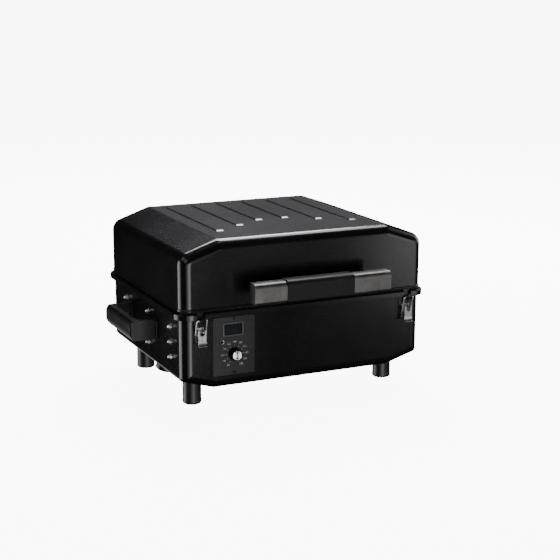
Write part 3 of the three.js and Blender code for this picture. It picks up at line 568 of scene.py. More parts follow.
tub_outline = [(-TUB_HALF, TUB_TOP), (-TUB_HALF, CHINE), (-FLOOR_HALF, FLOOR_Z),
               (FLOOR_HALF, FLOOR_Z), (TUB_HALF, CHINE), (TUB_HALF, TUB_TOP)]
lip = [(TUB_MOUTH + MOUTH_STEP, 0), (196.2, 0), (196.5, -0.3), (196.6, -0.8), (196.5, -1.3),
       (196.2, -1.6), (TUB_MOUTH + MOUTH_STEP, -SHEET)]
inlet_hole = block(-204, -176, 195, 215, 109, 131)
piece("tub_skin", shell(TUB_HALF, TUB_DEPTH, tub_outline, TUB_BEND, TUB_MOUTH, lip),
      "tub", ["tub_shell"], *PAINT, angle=28, cuts=[inlet_hole])

rim = [(187.2, 8.5), (187.0, 8.9), (187.0, 9.5), (187.5, 10.0), (196.0, 10.0), (197.3, 9.7),
       (198.2, 8.9), (198.6, 7.8), (198.6, -8.4), (198.4, -8.9), (197.6, -9.0), (197.0, -8.5),
       (197.0, 6.4), (196.7, 7.4), (196.0, 8.1), (195.2, 8.4)]
rim_cuts = [block(x - 7.4, x + 7.4, TUB_FRONT - 12, TUB_FRONT - 0.1, 186, 200)
            for x in (-LATCH_X, LATCH_X)]
rim_cuts += [block(x - 24, x + 24, 204.2, 218, 186, 200) for x in (-HINGE_X, HINGE_X)]
piece("rim_band", ring(TUB_HALF, TUB_DEPTH, rim), "tub", ["tub_rim"], *PAINT, cuts=rim_cuts,
      angle=28)
gasket = [(199.0, -3.4), (198.95, -3.0), (200.3, -2.9), (201.6, -3.2), (201.7, -4.5),
          (201.7, -9.5), (201.4, -10.9), (200.2, -11.0), (199.1, -10.8), (198.95, -9.5),
          (198.95, -4.5)]
piece("gasket", ring(LID_HALF, LID_DEPTH, gasket), "lid", ["lid_gasket"], "gasket_felt", "felt",
      angle=40)


# ---- shelves inside the tub
def shelf(name, top, ledge):
    """A ledge along the tub's front, right and back walls."""
    x_left, thick = -99.7, 2.0
    out_x, out_y = TUB_HALF - 1.9, TUB_DEPTH / 2 - 1.9
    in_x, in_y = TUB_HALF - ledge, TUB_DEPTH / 2 - ledge
    outline = [(x_left, -out_y), (out_x - 16, -out_y), (out_x - 5, -out_y + 5),
               (out_x, -out_y + 16), (out_x, out_y - 16), (out_x - 5, out_y - 5),
               (out_x - 16, out_y), (x_left, out_y), (x_left, in_y), (in_x, in_y),
               (in_x, -in_y), (x_left, -in_y)]
    piece(name, prism(outline, "z", top - thick, top), "tub", ["tub_shell"], *PAINT, bevel=0.5)


shelf("tray_shelf", 141.7, 26)
shelf("grate_shelf", 179.7, 18)

# ---- feet
FOOT_X, FOOT_Y, FOOT_REACH = 212, 133, 262
foot_profile = [(0, 0.6), (11, 0.6), (12, 0), (15, 0), (16.6, 0.35), (18.1, 1.5), (18.9, 3.2),
                (19, 5.0), (18.7, 7.4), (18.45, 9.0), (18.45, 62), (0, 62)]
under = FLOOR_Z - GAP
rise = (FOOT_REACH - FLOOR_HALF) * (CHINE - FLOOR_Z) / (TUB_HALF - FLOOR_HALF)
over = [(185, under), (FLOOR_HALF, under), (FOOT_REACH, under + rise), (FOOT_REACH, 90), (185, 90)]
for sy, end in ((-1, "front"), (1, "back")):
    for sx, side in SIDES:
        foot = lathe(foot_profile, "z", (sx * FOOT_X, sy * FOOT_Y, 0), 64)
        above = prism([(sx * u, v) for u, v in over], "y", sy * FOOT_Y - 30, sy * FOOT_Y + 30)
        piece(f"foot_{end}_{side}", foot, "tub", [f"foot_{end}_{side}"], "black_rubber", "foot",
              cuts=[above], angle=50)

# ---- dome nuts
NUT_RADIUS = 5.1
nut_places = {"left": [(-147, 163), (-147, 133), (-147, 103), (-23, 164), (-23, 101), (106, 163)],
              "right": [(-23, 164), (-23, 101)]}
nut_dome = [(0, 3.4), (4.3, 3.4), (4.25, 4.4), (3.9, 5.6), (3.2, 6.8), (2.1, 7.7), (1.0, 8.1),
            (0, 8.2)]
nut_shank = [(0, -6), (2.4, -6), (2.8, -5.6), (2.8, 0), (0, 0)]
for side, places in nut_places.items():
    for i, (y, z) in enumerate(places):
        turns = [radians(60 * k + 12 + 37 * i) for k in range(6)]
        hexagon = [(NUT_RADIUS * cos(a), NUT_RADIUS * sin(a)) for a in turns]
        washer = cylinder(NUT_RADIUS, 0, 0.9, "x", (0, 0, 0), 32)
        nut = merged(prism(hexagon, "x", 0.9, 3.4), washer, lathe(nut_dome, "x", (0, 0, 0), 32),
                     lathe(nut_shank, "x", (0, 0, 0), 20))
        nut = moved(nut, TUB_HALF + GAP, y, z)
        piece(f"dome_nut_{side}_{i + 1}", mirrored(nut) if side == "left" else nut, "tub",
              [f"side_nut_{side}_{i + 1}"], "bright_plating", "wire", bevel=0.25, angle=40)

# ---- carry handles
wall, out, inner = TUB_HALF + GAP, TUB_HALF + 57, TUB_HALF + 38
HANDLE_LOW, HANDLE_CROWN, HANDLE_HIGH, BULGE = 118, 141.0, 158, 8.0
plan = rounded([(wall, -68), (out, -68, 6), (out, 84, 6), (wall, 84), (wall, 76), (inner, 76, 5),
                (inner, -60, 5), (wall, -60)], 8)
crest = []
for low_z, bend_z, high_z, rising in ((HANDLE_LOW, 126, HANDLE_CROWN, True),
                                      (HANDLE_CROWN, 150, HANDLE_HIGH, False)):
    for k in range(13):
        t = k / 12
        start, end = (out - BULGE, out) if rising else (out, out - BULGE)
        crest.append((start * (1 - t) ** 2 + out * 2 * t * (1 - t) + end * t * t,
                      low_z * (1 - t) ** 2 + bend_z * 2 * t * (1 - t) + high_z * t * t))
crest.pop(13)  # the crown, which both halves hold
outside = crest + [(out - BULGE, HANDLE_HIGH + 6), (out + 4, HANDLE_HIGH + 6),
                   (out + 4, HANDLE_LOW - 6), (out - BULGE, HANDLE_LOW - 6)]
for side, name in SIDES:
    facing = mirrored if side < 0 else moved
    roots = [prism(rectangle(y0, y1, 119, 157, 3), "x", wall, TUB_HALF + 5)
             for y0, y1 in ((-74, -54), (70, 90))]
    piece(f"carry_grip_{name}", facing(prism(plan, "z", HANDLE_LOW, HANDLE_HIGH)), "tub",
          [f"carry_handle_{name}"], *PLASTIC, bevel=1.6, angle=40,
          cuts=[facing(prism(outside, "y", -75, 92))], segments=4)
    piece(f"carry_roots_{name}", facing(merged(*roots)), "tub", [f"carry_handle_{name}"],
          *PLASTIC, bevel=1.0, angle=40, segments=3)

# ---- control panel
PANEL_BACK = TUB_FRONT - GAP
PANEL_FRONT = PANEL_BACK - 2.0
KNOB_X, KNOB_Z = -152.5, 111.0
SOCKET_X, SOCKET_Z = -179, 137.5
SCREWS = (("top", 181), ("bottom", 75))
# Rectangles below are (x0, x1, z0, z1).
PANEL = (-197, -111, 71, 185)
WINDOW = (-173.8, -136.2, 149.7, 171.3)
LENS = (-173.4, -136.6, 150.1, 170.9)
BEZEL = (-176.0, -134.0, 147.4, 173.6)

panel_cuts = [prism(rectangle(*WINDOW, 1), "y", PANEL_FRONT - 1, PANEL_BACK + 1)]
panel_cuts += [cylinder(radius, -1, 4, "y", (x, PANEL_FRONT, z), sides) for radius, x, z, sides in (
    (3.5, KNOB_X, KNOB_Z, 32), (3.5, SOCKET_X, SOCKET_Z, 32),
    *((1.7, KNOB_X, z, 24) for _, z in SCREWS))]
piece("panel_plate", prism(rectangle(*PANEL, 3), "y", PANEL_FRONT, PANEL_BACK), "tub",
      ["control_panel"], "black_plastic", "panel", bevel=0.45, cuts=panel_cuts)
piece("display_lens", prism(rectangle(*LENS, 1), "y", PANEL_FRONT + 0.5, PANEL_BACK - 0.3), "tub",
      ["display_window"], "display_lens", "lens", bevel=0.3)


def frame_of(x0, x1, z0, z1, wide, y0, y1):
    """A rectangular ring round a window."""
    outer = rectangle(x0, x1, z0, z1, 1.2)
    inner = rectangle(x0 + wide, x1 - wide, z0 + wide, z1 - wide, 0.8)
    n = len(outer)
    verts = [(u, y, v) for y in (y0, y1) for loop in (outer, inner) for u, v in loop]
    faces = []
    for i in range(n):
        j = (i + 1) % n
        faces += [[i, j, n + j, n + i], [2 * n + i, 2 * n + j, 3 * n + j, 3 * n + i],
                  [i, j, 2 * n + j, 2 * n + i], [n + i, n + j, 3 * n + j, 3 * n + i]]
    return verts, faces


piece("display_bezel", frame_of(*BEZEL, 2.4, PANEL_FRONT - 0.9, PANEL_FRONT), "tub", [],
      "black_plastic", "bezel", bevel=0.4)


def digit_segments(x, z, lit):
    """One seven-segment digit on the display, of which the named bars are lit."""
    wide, high, thick = 5.2, 11.5, 0.9
    half = high / 2
    left, right = (x, x + thick), (x + wide - thick, x + wide)
    lower, upper = (z + 1.1, z + half - 0.6), (z + half + 0.6, z + high - 1.1)
    bars = {"a": (x, x + wide, z + high - thick, z + high), "b": right + upper, "c": right + lower,
            "d": (x, x + wide, z, z + thick), "e": left + lower, "f": left + upper,
            "g": (x, x + wide, z + half - thick / 2, z + half + thick / 2)}
    near, far = PANEL_FRONT + 0.42, PANEL_FRONT + 0.5
    return [block(*bars[k][:2], near, far, *bars[k][2:]) for k in lit]


digits = []
for x, lit in ((-168, "abcdefg"), (-160, "abcdefg"), (-152, "abcdefg"), (-143.5, "adef")):
    digits += digit_segments(x, 154.5, lit)
piece("display_segments", merged(*digits), "tub", [], "display_lens", "segment")


def number(text, x, z, height):
    """A printed number, as a thin mesh on the panel's face."""
    curve = bpy.data.curves.new("number", "FONT")
    curve.body = text
    curve.size = height / 1000 * 1.4
    curve.extrude = 0.00004
    curve.align_x = "CENTER"
    curve.align_y = "CENTER"
    curve.resolution_u = 3
    holder = placed("number", curve)
    bpy.context.view_layer.update()
    graph = bpy.context.evaluated_depsgraph_get()
    flat = bpy.data.meshes.new_from_object(holder.evaluated_get(graph))
    verts = [(v.co.x * 1000 + x, PANEL_FRONT - 0.05 - v.co.z * 1000, v.co.y * 1000 + z)
             for v in flat.vertices]
    faces = [list(f.vertices) for f in flat.polygons]
    bpy.data.objects.remove(holder)
    bpy.data.curves.remove(curve)
    bpy.data.meshes.remove(flat)
    return verts, faces


DIAL_SWEEP, DIAL_RADIUS, DIGIT_HEIGHT = 294, 24.5, 3.6
marks = []
values = ["80", "100", "120", "140", "160", "180", "200", "210", "220", "230", "240"]
for i, value in enumerate(values):
    a = radians(-DIAL_SWEEP / 2 + DIAL_SWEEP * i / (len(values) - 1))
    marks.append(number(value, KNOB_X + DIAL_RADIUS * sin(a),
                        KNOB_Z + DIAL_RADIUS * cos(a), DIGIT_HEIGHT))
    spoke = block(-0.35, 0.35, PANEL_FRONT - 0.06, PANEL_FRONT - 0.01, 15.6, 18.2)
    marks.append(moved(turned(spoke, "Y", degrees(a), (0, 0, 0)), KNOB_X, 0, KNOB_Z))
dial = mesh_object("dial_marks", merged(*marks))
dial.data.materials.append(LOOKS["ink"])
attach(dial, "tub")

# ---- knob
FLUTES, FLUTE_STEPS = 24, 144
seat = (KNOB_X, PANEL_FRONT - 0.5, KNOB_Z)
flutes = []
for i in range(FLUTE_STEPS):
    a = 2 * pi * i / FLUTE_STEPS
    r = 11.7 + 0.45 * cos(FLUTES * a)
    flutes.append((KNOB_X + r * cos(a), KNOB_Z + r * sin(a)))
skirt = [(0, 0), (3.0, 0), (12.5, 0), (12.5, -1.6), (12.2, -2.2), (10.5, -2.6), (0, -2.6)]
piece("knob_barrel", prism(flutes, "y", seat[1] - 11.9, seat[1] - 2.4), "knob", ["knob"], *KNOB,
      bevel=0.5, angle=50, cuts=[cylinder(9.8, -14, -10.5, "y", seat, 64)])
piece("knob_skirt", lathe(skirt, "y", seat, 64), "knob", ["knob"], *KNOB, angle=40)
piece("knob_stem", cylinder(3.0, 0, 3.0, "y", seat, 32), "knob", ["knob"], *KNOB, angle=40)

cap_back = seat[1] - 10.8
cap = [(0, 0), (9.4, 0), (9.4, -1.7), (9.0, -2.35), (8.4, -2.6)]
for k in range(14):  # fine rings turned into the face
    r = 8.1 - k * 0.55
    cap += [(r, -2.6 + 0.05 * (k % 2)), (r - 0.2, -2.6 + 0.05 * ((k + 1) % 2))]
cap.append((0, -2.58))
pointer = block(KNOB_X - 0.8, KNOB_X + 0.8, cap_back - 3.2, cap_back - 1.7, KNOB_Z - 6.0,
                KNOB_Z + 10)
piece("knob_face", lathe(cap, "y", (KNOB_X, cap_back, KNOB_Z), 64), "knob", ["knob_cap"],
      "bright_plating", "bright", angle=30, cuts=[pointer])
pointer_ink = block(KNOB_X - 0.75, KNOB_X + 0.75, cap_back - 2.1, cap_back - 1.75, KNOB_Z - 5.9,
                    KNOB_Z + 9.3)
piece("knob_pointer", pointer_ink, "knob", [], "black_plastic", "dark")

# ---- socket and screws
socket_place = (SOCKET_X, PANEL_FRONT - GAP, SOCKET_Z)
socket = [(3.1, -1.3), (3.3, -1.9), (3.8, -1.95), (4.2, -1.7), (4.5, -1.2), (4.5, 0), (3.2, 0),
          (3.2, 4), (2.9, 4), (2.9, -1.1)]
core = [(1.1, 3.9), (1.1, -0.6), (1.5, -1.0), (2.7, -1.0), (2.85, -0.8), (2.85, 3.9)]
piece("socket_ring", lathe(socket, "y", socket_place, 48), "tub", ["probe_socket"], *ZINC)
piece("socket_core", lathe(core, "y", socket_place, 32), "tub", ["probe_socket"],
      "black_plastic", "dark")
screw = [(0, -1.7), (1.0, -1.66), (2.0, -1.4), (2.7, -0.9), (3.0, -0.3), (3.0, 0), (1.4, 0),
         (1.4, 2), (0, 2)]
for label, z in SCREWS:
    bar = block(KNOB_X - 1.7, KNOB_X + 1.7, PANEL_FRONT - 3, PANEL_FRONT - 1.2, z - 0.35, z + 0.35)
    cross = [turned(bar, "Y", angle, (KNOB_X, 0, z)) for angle in (35, 125)]
    piece(f"screw_{label}", lathe(screw, "y", (KNOB_X, PANEL_FRONT - GAP, z), 40), "tub",
          [f"panel_screw_{label}"], "bare_steel", "screw", cuts=[merged(*cross)])


# ---- lid handle
BAR_LEFT, BAR_RIGHT, BAR_WALL = -139.0, 150.0, 1.5
BAR_BACK, BAR_FRONT, BAR_LOW, BAR_HIGH = LID_FRONT - 42, LID_FRONT - 66.5, 220, 259
GRIP_LEFT, GRIP_RIGHT = -73.0, 69.0
MOUTH = (LID_FRONT - 47, LID_FRONT - 37, 224, 255)  # the channel behind the bar
POST_X, POST_Z = 100, 239.5


def handle_section(grow, steps=10):
    """Outline of the bar in Y and Z, flat behind and in front, its front edges rounded."""
    back, front, low, high = BAR_BACK + grow, BAR_FRONT - grow, BAR_LOW - grow, BAR_HIGH + grow
    top_edge, bottom_edge = 11.0, 5.0
    out = [(back, low), (back, high)]
    for a, b, c in (((front + top_edge, high), (front, high), (front, high - top_edge)),
                    ((front, low + bottom_edge), (front, low), (front + bottom_edge, low))):
        for k in range(steps + 1):
            t = k / steps
            out.append(tuple(a[i] * (1 - t) ** 2 + 2 * b[i] * t * (1 - t) + c[i] * t * t
                             for i in (0, 1)))
    return out


inside = (BAR_LEFT + BAR_WALL, BAR_RIGHT - BAR_WALL)
through = (GRIP_LEFT - 2, GRIP_RIGHT + 2)
piece("handle_bar_steel", prism(handle_section(0), "x", BAR_LEFT, BAR_RIGHT), "lid",
      ["handle_bar"], "brushed_stainless", "stainless", bevel=0.6, angle=40,
      cuts=[prism(handle_section(-BAR_WALL), "x", *inside), block(*inside, *MOUTH)])
piece("handle_grip_sleeve", prism(handle_section(2.0), "x", GRIP_LEFT, GRIP_RIGHT), "lid",
      ["handle_grip"], "black_rubber", "grip", bevel=1.1, angle=40, segments=3,
      cuts=[prism(handle_section(GAP), "x", *through), block(*through, *MOUTH)])
nose = BAR_FRONT + BAR_WALL + 2
post = [(0, nose), (7.5, nose), (8.8, nose + 1.2), (8.8, LID_FRONT - 6), (9, LID_FRONT - 5.2),
        (9, LID_FRONT - 0.8), (8.6, LID_FRONT - GAP), (0, LID_FRONT - GAP)]
for side, name in SIDES:
    piece(f"handle_post_{name}", lathe(post, "y", (side * POST_X, 0, POST_Z), 48), "lid",
          [f"handle_post_{name}"], "bare_steel", "post")

# ---- latches
LATCH_WALL = TUB_FRONT - GAP
PIVOT = (-213.0, 163.0)  # Y and Z, as for the two below
LOOP_FOOT = (-209.5, 157.0)
LOOP_BAR = (-217.6, 187.0)
LOOP_HALF = 10.2
latch_rivet = [(0, 0), (2.6, 0), (2.4, -0.9), (1.4, -1.5), (0, -1.7)]
ear = rounded([(LATCH_WALL - 0.6, 158.5), (LATCH_WALL - 0.6, 167.5), (PIVOT[0] - 2.4, 165.4, 2),
               (PIVOT[0] - 2.4, 160.6, 2)])
web_front, web_back, ear_top = PIVOT[0] - 5.2, PIVOT[0] - 4.0, PIVOT[1] + 5
wing = rounded([(web_front + 0.3, ear_top, 1), (web_front + 3.4, ear_top, 1),
                (PIVOT[0] + 3.4, PIVOT[1] + 1.6, 2), (LOOP_FOOT[0] + 1.6, LOOP_FOOT[1] - 2.4, 2),
                (web_front + 0.3, 150)])
pull_outer = [(web_back - 3.4 * (k / 8) ** 2, 146.5 - 10 * k / 8) for k in range(9)]
pull_inner = [(web_front - 3.4 * (k / 8) ** 2, 146.5 - 10 * k / 8) for k in range(9)]
strap_back, strap_front = TUB_FRONT - 2, TUB_FRONT - 3.2
hook = [(strap_back, 201.6), (strap_front, 201.6), (strap_front, 184.6)]
hook += [(strap_front - 1.1 + 1.1 * cos(radians(a)),
          184.5 - 1.1 * sin(radians(a))) for a in range(15, 91, 15)]
hook += [(-218.9, 183.4), (-219.6, 184.0), (-219.9, 185.2), (-219.9, 189.2), (-220.5, 189.8),
         (-221.1, 189.2), (-221.1, 184.4), (-220.4, 182.9), (-219.2, 182.2),
         (strap_front, 182.2), (strap_front, 173.0), (strap_back, 173.0)]
for side, name in SIDES:
    x = side * LATCH_X
    base = [prism(rectangle(x - 8.5, x + 8.5, 142, 171, 2), "y", LATCH_WALL - 1.2, LATCH_WALL)]
    base += [prism(ear, "x", *sorted((x + s * 3.5, x + s * 4.8))) for s in (-1, 1)]
    base += [lathe(latch_rivet, "y", (x, LATCH_WALL - 1.2, z), 24) for z in (146.5, 153.0)]
    piece(f"latch_plate_{name}", merged(*base), "tub", [f"latch_base_{name}"], *ZINC, bevel=0.25,
          angle=40, cuts=[cylinder(1.7, x - 7, x + 7, "x", (0, *PIVOT), 24)])

    lever = (f"lever_{name}", [f"latch_lever_{name}"], *ZINC)
    web = [(x - 8.2, 144.2), (x - 7.7, 152), (x - 7.7, 157), (x - 8.2, 162), (x - 8.2, ear_top)]
    throat = [(x + 5.0 * cos(radians(d)), PIVOT[1] - 1 + 5.0 * sin(radians(d)))
              for d in range(180, 361, 15)]
    web_right = [(2 * x - u, v) for u, v in web[::-1]]
    web += [(x - 5.0, ear_top), *throat, (x + 5.0, ear_top), *web_right]
    wings = [prism(wing, "x", *sorted((x + s * 6.9, x + s * 8.2))) for s in (-1, 1)]
    pull = prism(pull_outer + pull_inner[::-1], "x", x - 8.6, x + 8.6)
    crease = prism(rectangle(x - 3.6, x + 3.6, 148, 156, 1.5), "y", web_front - 0.5,
                   web_front + 0.2)
    roll = cylinder(0.8, x - 8.6, x + 8.6, "x", (0, web_front - 2.8, 137.3), 16)
    pin = lathe([(0, x - 8.7), (1.9, x - 8.7), (1.9, x - 8.2), (1.5, x - 8.2), (1.5, x + 8.2),
                 (1.9, x + 8.2), (1.9, x + 8.7), (0, x + 8.7)], "x", (0, *PIVOT), 24)
    piece(f"latch_lever_web_{name}", prism(web, "y", web_front, web_back), *lever, bevel=0.3,
          angle=40)
    piece(f"latch_lever_wings_{name}", merged(*wings), *lever, bevel=0.25, angle=40,
          cuts=[cylinder(1.6, x - 9, x + 9, "x", (0, *LOOP_FOOT), 24)])
    piece(f"latch_pull_{name}", merged(pull, crease), *lever, bevel=0.25, angle=40)
    piece(f"latch_roll_{name}", roll, *lever, angle=40)
    piece(f"latch_pin_{name}", pin, *lever, angle=40)

    bends = [(x + dx, *point) for dx, point in (
        (-5.5, LOOP_FOOT), (-LOOP_HALF, LOOP_FOOT), (-LOOP_HALF, LOOP_BAR),
        (LOOP_HALF, LOOP_BAR), (LOOP_HALF, LOOP_FOOT), (5.5, LOOP_FOOT))]
    piece(f"latch_wire_{name}", tube(bent(bends, 3.0, 7), 1.5, 16), f"loop_{name}",
          [f"latch_loop_{name}"], "bright_plating", "wire", angle=50)
    piece(f"latch_hook_{name}", prism(hook, "x", x - 6.4, x + 6.4), "lid",
          [f"latch_catch_{name}"], *PAINT, bevel=0.2, angle=40)

# ---- hinges
HINGE_Y, HINGE_Z = 212.0, 201.5
LEAF, ROLL_RADIUS, LINK_HALF = 1.6, 4.2, 6.6
tub_wall, lid_wall = -TUB_FRONT + GAP, -LID_FRONT + GAP
arm = [(tub_wall + 0.1, 170), (tub_wall + 1.5, 170), (tub_wall + 1.5, 190),
       (HINGE_Y + 1, HINGE_Z - 3.6), (HINGE_Y - 2, HINGE_Z), (tub_wall + 0.1, 194)]
link = [(lid_wall + 0.1, 206), (lid_wall + 0.1, 225), (lid_wall + 1.5, 225),
        (lid_wall + 1.5, 208.5), (HINGE_Y + 2.2, HINGE_Z + 2.6), (HINGE_Y - 1.5, HINGE_Z - 1)]
hinge_rivet = [(0, 1.6), (3.2, 1.6), (3.0, 2.4), (2.0, 3.1), (0, 3.4)]
hinge_line = (0, HINGE_Y, HINGE_Z)
for side, name in SIDES:
    x = side * HINGE_X
    lower = ("tub", [f"hinge_tub_leaf_{name}"], *PAINT)
    upper = ("lid", [f"hinge_lid_leaf_{name}"], *PAINT)
    bore = cylinder(2.3, x - 25, x + 25, "x", hinge_line, 24)
    piece(f"hinge_lower_leaf_{name}", prism(rectangle(x - 20, x + 20, 150, 188, 4, 0.5), "y",
                                            tub_wall, tub_wall + LEAF), *lower, bevel=0.3)
    for tag, arm_ends, roll_ends in (("a", (-19.9, -7), (-20, -7)), ("b", (7, 19.9), (7, 20))):
        piece(f"hinge_lower_arm_{name}_{tag}", prism(arm, "x", *[x + dx for dx in arm_ends]),
              *lower, bevel=0.25, cuts=[bore])
        roll = cylinder(ROLL_RADIUS, *[x + dx for dx in roll_ends], "x", hinge_line, 32)
        piece(f"hinge_lower_roll_{name}_{tag}", roll, *lower, bevel=0.25, cuts=[bore])
    piece(f"hinge_upper_leaf_{name}", prism(rectangle(x - 20, x + 20, 209, 240, 0.5, 4), "y",
                                            lid_wall, lid_wall + LEAF), *upper, bevel=0.3)
    piece(f"hinge_upper_link_{name}", prism(link, "x", x - LINK_HALF, x + LINK_HALF), *upper,
          bevel=0.25, cuts=[bore])
    roll = cylinder(ROLL_RADIUS, x - LINK_HALF, x + LINK_HALF, "x", hinge_line, 32)
    piece(f"hinge_upper_roll_{name}", roll, *upper, bevel=0.25, cuts=[bore])
    rod = lathe([(0, x - 21), (1.4, x - 21), (2, x - 20.4), (2, x + 20.4), (1.4, x + 21),
                 (0, x + 21)], "x", hinge_line, 24)
    piece(f"hinge_rod_{name}", rod, "tub", [f"hinge_pin_{name}"], *ZINC, angle=40)
    for tag, body, wall, z in (("lower", "tub", tub_wall, 164), ("upper", "lid", lid_wall, 228)):
        rivets = [lathe(hinge_rivet, "y", (x + dx, wall, z), 24) for dx in (-12, 0, 12)]
        piece(f"hinge_rivets_{tag}_{name}", merged(*rivets), body, [], *ZINC, angle=40)

# ---- pieces with a CAD outline
for name, node, body, looks, bevel in (
        ("divider", "divider_wall", "tub", PAINT, 0.3),
        ("hopper_funnel", "hopper_bin", "tub", STEEL, 0.4),
        ("hopper_cover", "hopper_lid", "hopper_lid", PAINT, 0.4),
        ("motor", "auger_motor", "tub", STEEL, 1.0),
        ("fan_case", "fan_housing", "tub", PLASTIC, 0.8),
        ("fan_wheel", "fan_impeller", "fan", PLASTIC, 0.2),
        ("burn_pot", "fire_pot", "tub", HEATED, 0.3),
        ("igniter", "igniter_rod", "tub", HEATED, 0.4),
        ("baffle", "heat_baffle", "tub", HEATED, 0.4),
        ("grease_tray", "drip_tray", "tray", STEEL, 0.3),
        ("feed_tube", "auger_tube", "tub", STEEL, 0.3),
        ("probe_rod", "temperature_probe", "tub", ZINC, 0.3),
        ("control_box", "controller_box", "tub", PLASTIC, 1.2),
        ("mains_inlet", "power_inlet", "tub", PLASTIC, 0.5),
        ("intake_cap", "air_intake_cap", "tub", PLASTIC, 0.4)):
    refined(name, node, body, *looks, bevel)

# ---- grate and auger
GRATE_LEFT, GRATE_RIGHT, GRATE_HALF, GRATE_LOW = -96.0, 245.0, 190.0, 180.0
GRATE_CORNER, FRAME_RADIUS, BAYS = 9.0, 2.5, 16
loop = []
for sx, sy, start in ((1, 1, 0), (-1, 1, 90), (-1, -1, 180), (1, -1, 270)):
    cx = GRATE_RIGHT - GRATE_CORNER if sx > 0 else GRATE_LEFT + GRATE_CORNER
    cy = sy * (GRATE_HALF - GRATE_CORNER)
    for k in range(7):
        a = radians(start + 15 * k)
        r = GRATE_CORNER - FRAME_RADIUS
        loop.append((cx + r * cos(a), cy + r * sin(a), GRATE_LOW + FRAME_RADIUS))
rods = [tube(loop, FRAME_RADIUS, 12, closed=True)]
for i in range(1, BAYS):
    x = GRATE_LEFT + (GRATE_RIGHT - GRATE_LEFT) * i / BAYS
    rods.append(tube([(x, y, GRATE_LOW + 3) for y in (3 - GRATE_HALF, GRATE_HALF - 3)], 1.95))
for y in (-70, 70):
    rods.append(tube([(x, y, GRATE_LOW + 1.6) for x in (GRATE_LEFT + 3, GRATE_RIGHT - 3)], 1.6))
piece("grate_rods", merged(*rods), "grate", ["cooking_grate"], "grate_enamel", "enamel", angle=50)

AUGER = (20.0, 84.0)  # Y and Z of its axis
TURNS, STEPS_PER_TURN, FLIGHT_PITCH, FLIGHT_START = 6, 36, 34.0, -176
steps = TURNS * STEPS_PER_TURN
shaft = lathe([(0, -199.5), (6.4, -199.5), (7, -198.9), (7, 31.4), (6.4, 32), (0, 32)], "x",
              (0, *AUGER), 32)
flight_verts, flight_faces = [], []
for i in range(steps + 1):
    a = 2 * pi * i / STEPS_PER_TURN
    x = FLIGHT_START + FLIGHT_PITCH * i / STEPS_PER_TURN
    for r, dx in ((6.5, -1.6), (19.9, -0.8), (19.9, 0.8), (6.5, 1.6)):
        flight_verts.append((x + dx, AUGER[0] + r * cos(a), AUGER[1] + r * sin(a)))
for i in range(steps):
    for k in range(4):
        m = (k + 1) % 4
        flight_faces.append([i * 4 + k, i * 4 + m, i * 4 + 4 + m, i * 4 + 4 + k])
flight_faces += [[0, 1, 2, 3], [steps * 4 + k for k in (3, 2, 1, 0)]]
piece("auger_flight", merged(shaft, (flight_verts, flight_faces)), "auger", ["auger_screw"],
      *STEEL, angle=40)

# ---- camera, light, floor
PICTURE, SENSOR, FOCAL = 560, 36, 1311.0  # pixels, millimetres, pixels
YAW, PITCH, ROLL = radians(25.46), radians(13.31), radians(0.30)
EYE = (-1107.0, -2410.3, 824.4)
camera_data = bpy.data.cameras.new("camera")
camera_data.lens = FOCAL / PICTURE * SENSOR
camera_data.sensor_width = SENSOR
camera_data.clip_start = 0.05
camera_data.clip_end = 400
camera = placed("camera", camera_data)
ahead = Vector((sin(YAW) * cos(PITCH), cos(YAW) * cos(PITCH), -sin(PITCH)))
level_right = Vector((cos(YAW), -sin(YAW), 0))
level_up = level_right.cross(ahead)
right = level_right * cos(ROLL) + level_up * sin(ROLL)
up = level_up * cos(ROLL) - level_right * sin(ROLL)
facing = Matrix((right, up, -ahead)).transposed().to_4x4()
camera.matrix_world = Matrix.Translation(metres(EYE)) @ facing
bpy.context.scene.camera = camera

STUDIO_MIDDLE = Vector((0, 0, 0.25))
STUDIO_RADIUS = 3.0
WHITE, COOL = (1, 1, 1), (0.95, 0.94, 1.0)
BACKDROP = 9.0  # emission of the world and the floor, which only the camera sees
FLOOR_SPAN = 90.0


def softbox(name, azimuths, elevations, radiance, colour):
    """A soft panel that fills a stretch of the view round the grill.

    Angles are in degrees. Azimuth 0 is in front and negative is to the left.
    """
    azimuth, elevation = (radians(sum(pair) / 2) for pair in (azimuths, elevations))
    across, upright = (radians(pair[1] - pair[0]) / 2 for pair in (azimuths, elevations))
    level = cos(elevation)
    width = 2 * STUDIO_RADIUS * tan(across) * level
    height = 2 * STUDIO_RADIUS * tan(upright)
    heading = Vector((sin(azimuth) * level, -cos(azimuth) * level, sin(elevation)))
    place = STUDIO_MIDDLE + heading * STUDIO_RADIUS
    data = bpy.data.lights.new(name, "AREA")
    data.shape = "RECTANGLE"
    data.size, data.size_y = width, height
    data.energy = radiance * pi * width * height
    data.color = colour
    obj = placed(name, data)
    obj.location = place
    obj.rotation_mode = "QUATERNION"
    obj.rotation_quaternion = (STUDIO_MIDDLE - place).to_track_quat("-Z", "Y")


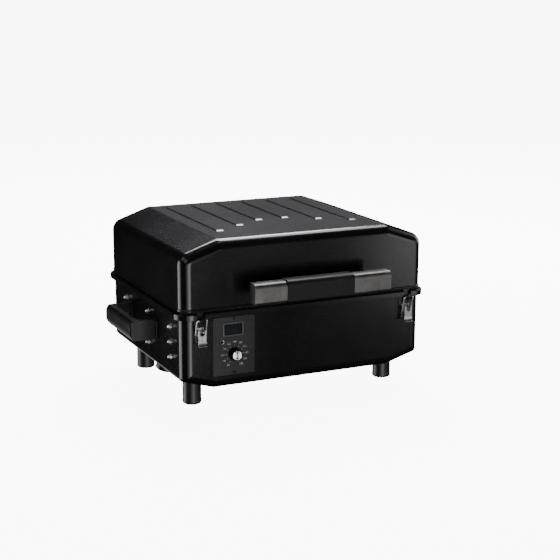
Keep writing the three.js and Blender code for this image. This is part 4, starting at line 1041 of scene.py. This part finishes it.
for name, azimuths, elevations, radiance, colour in (
        ("back_low", (138, 168), (4, 22), 0.16, COOL),
        ("back_middle", (160, 180), (22, 32), 0.18, COOL),
        ("back_floor", (118, 186), (-36, -12), 0.8, COOL),
        ("back_floor_left", (-170, -140), (-42, -26), 0.8, COOL),
        ("back_high", (138, 168), (32, 66), 18.5, COOL),
        ("back_high_left", (168, 182), (36, 60), 14.0, COOL),
        ("back_high_right", (104, 138), (42, 68), 9.0, COOL),
        ("left_strip", (-136, -98), (-30, 15), 4.4, WHITE),
        ("front_left", (-32, -14), (-30, 6), 1.5, WHITE),
        ("front_strip", (-14, 10), (-30, 6), 5.5, WHITE),
        ("front_low", (16, 28), (-14, 8), 0.15, WHITE),
        ("right_front", (31, 42), (-14, 10), 3.0, WHITE),
        ("right_wide", (42, 58), (-16, 12), 1.5, WHITE),
        ("overhead", (0, 60), (70, 90), 3.0, WHITE),
        ("left_high", (-110, -70), (30, 55), 1.5, WHITE),
        ("front_high", (-60, -30), (20, 45), 1.5, WHITE),
        ("right_side", (75, 105), (-5, 35), 3.0, WHITE)):
    softbox(name, azimuths, elevations, radiance, colour)

world = bpy.data.worlds.new("studio")
bpy.context.scene.world = world
world.use_nodes = True
set_inputs(world.node_tree.nodes["Background"], {"Color": (1, 1, 1, 1), "Strength": BACKDROP})
world.cycles_visibility.diffuse = False
world.cycles_visibility.glossy = False
world.cycles_visibility.transmission = False
world.cycles_visibility.scatter = False

floor_mesh = bpy.data.meshes.new("floor")
floor_mesh.from_pydata([(sx * FLOOR_SPAN, sy * FLOOR_SPAN, 0)
                        for sx, sy in ((-1, -1), (1, -1), (1, 1), (-1, 1))], [], [[0, 1, 2, 3]])
floor = placed("floor", floor_mesh)
floor.location.z = -0.0005
floor_mat, _, floor_shader = new_material("floor_pale")
set_inputs(floor_shader, {
    "Base Color": (0.85, 0.85, 0.85, 1), "Roughness": 0.9, "Specular IOR Level": 0.1,
    "Emission Color": (1, 1, 1, 1), "Emission Strength": BACKDROP})
floor.data.materials.append(floor_mat)
floor.visible_diffuse = False
floor.visible_glossy = False
floor.visible_shadow = False
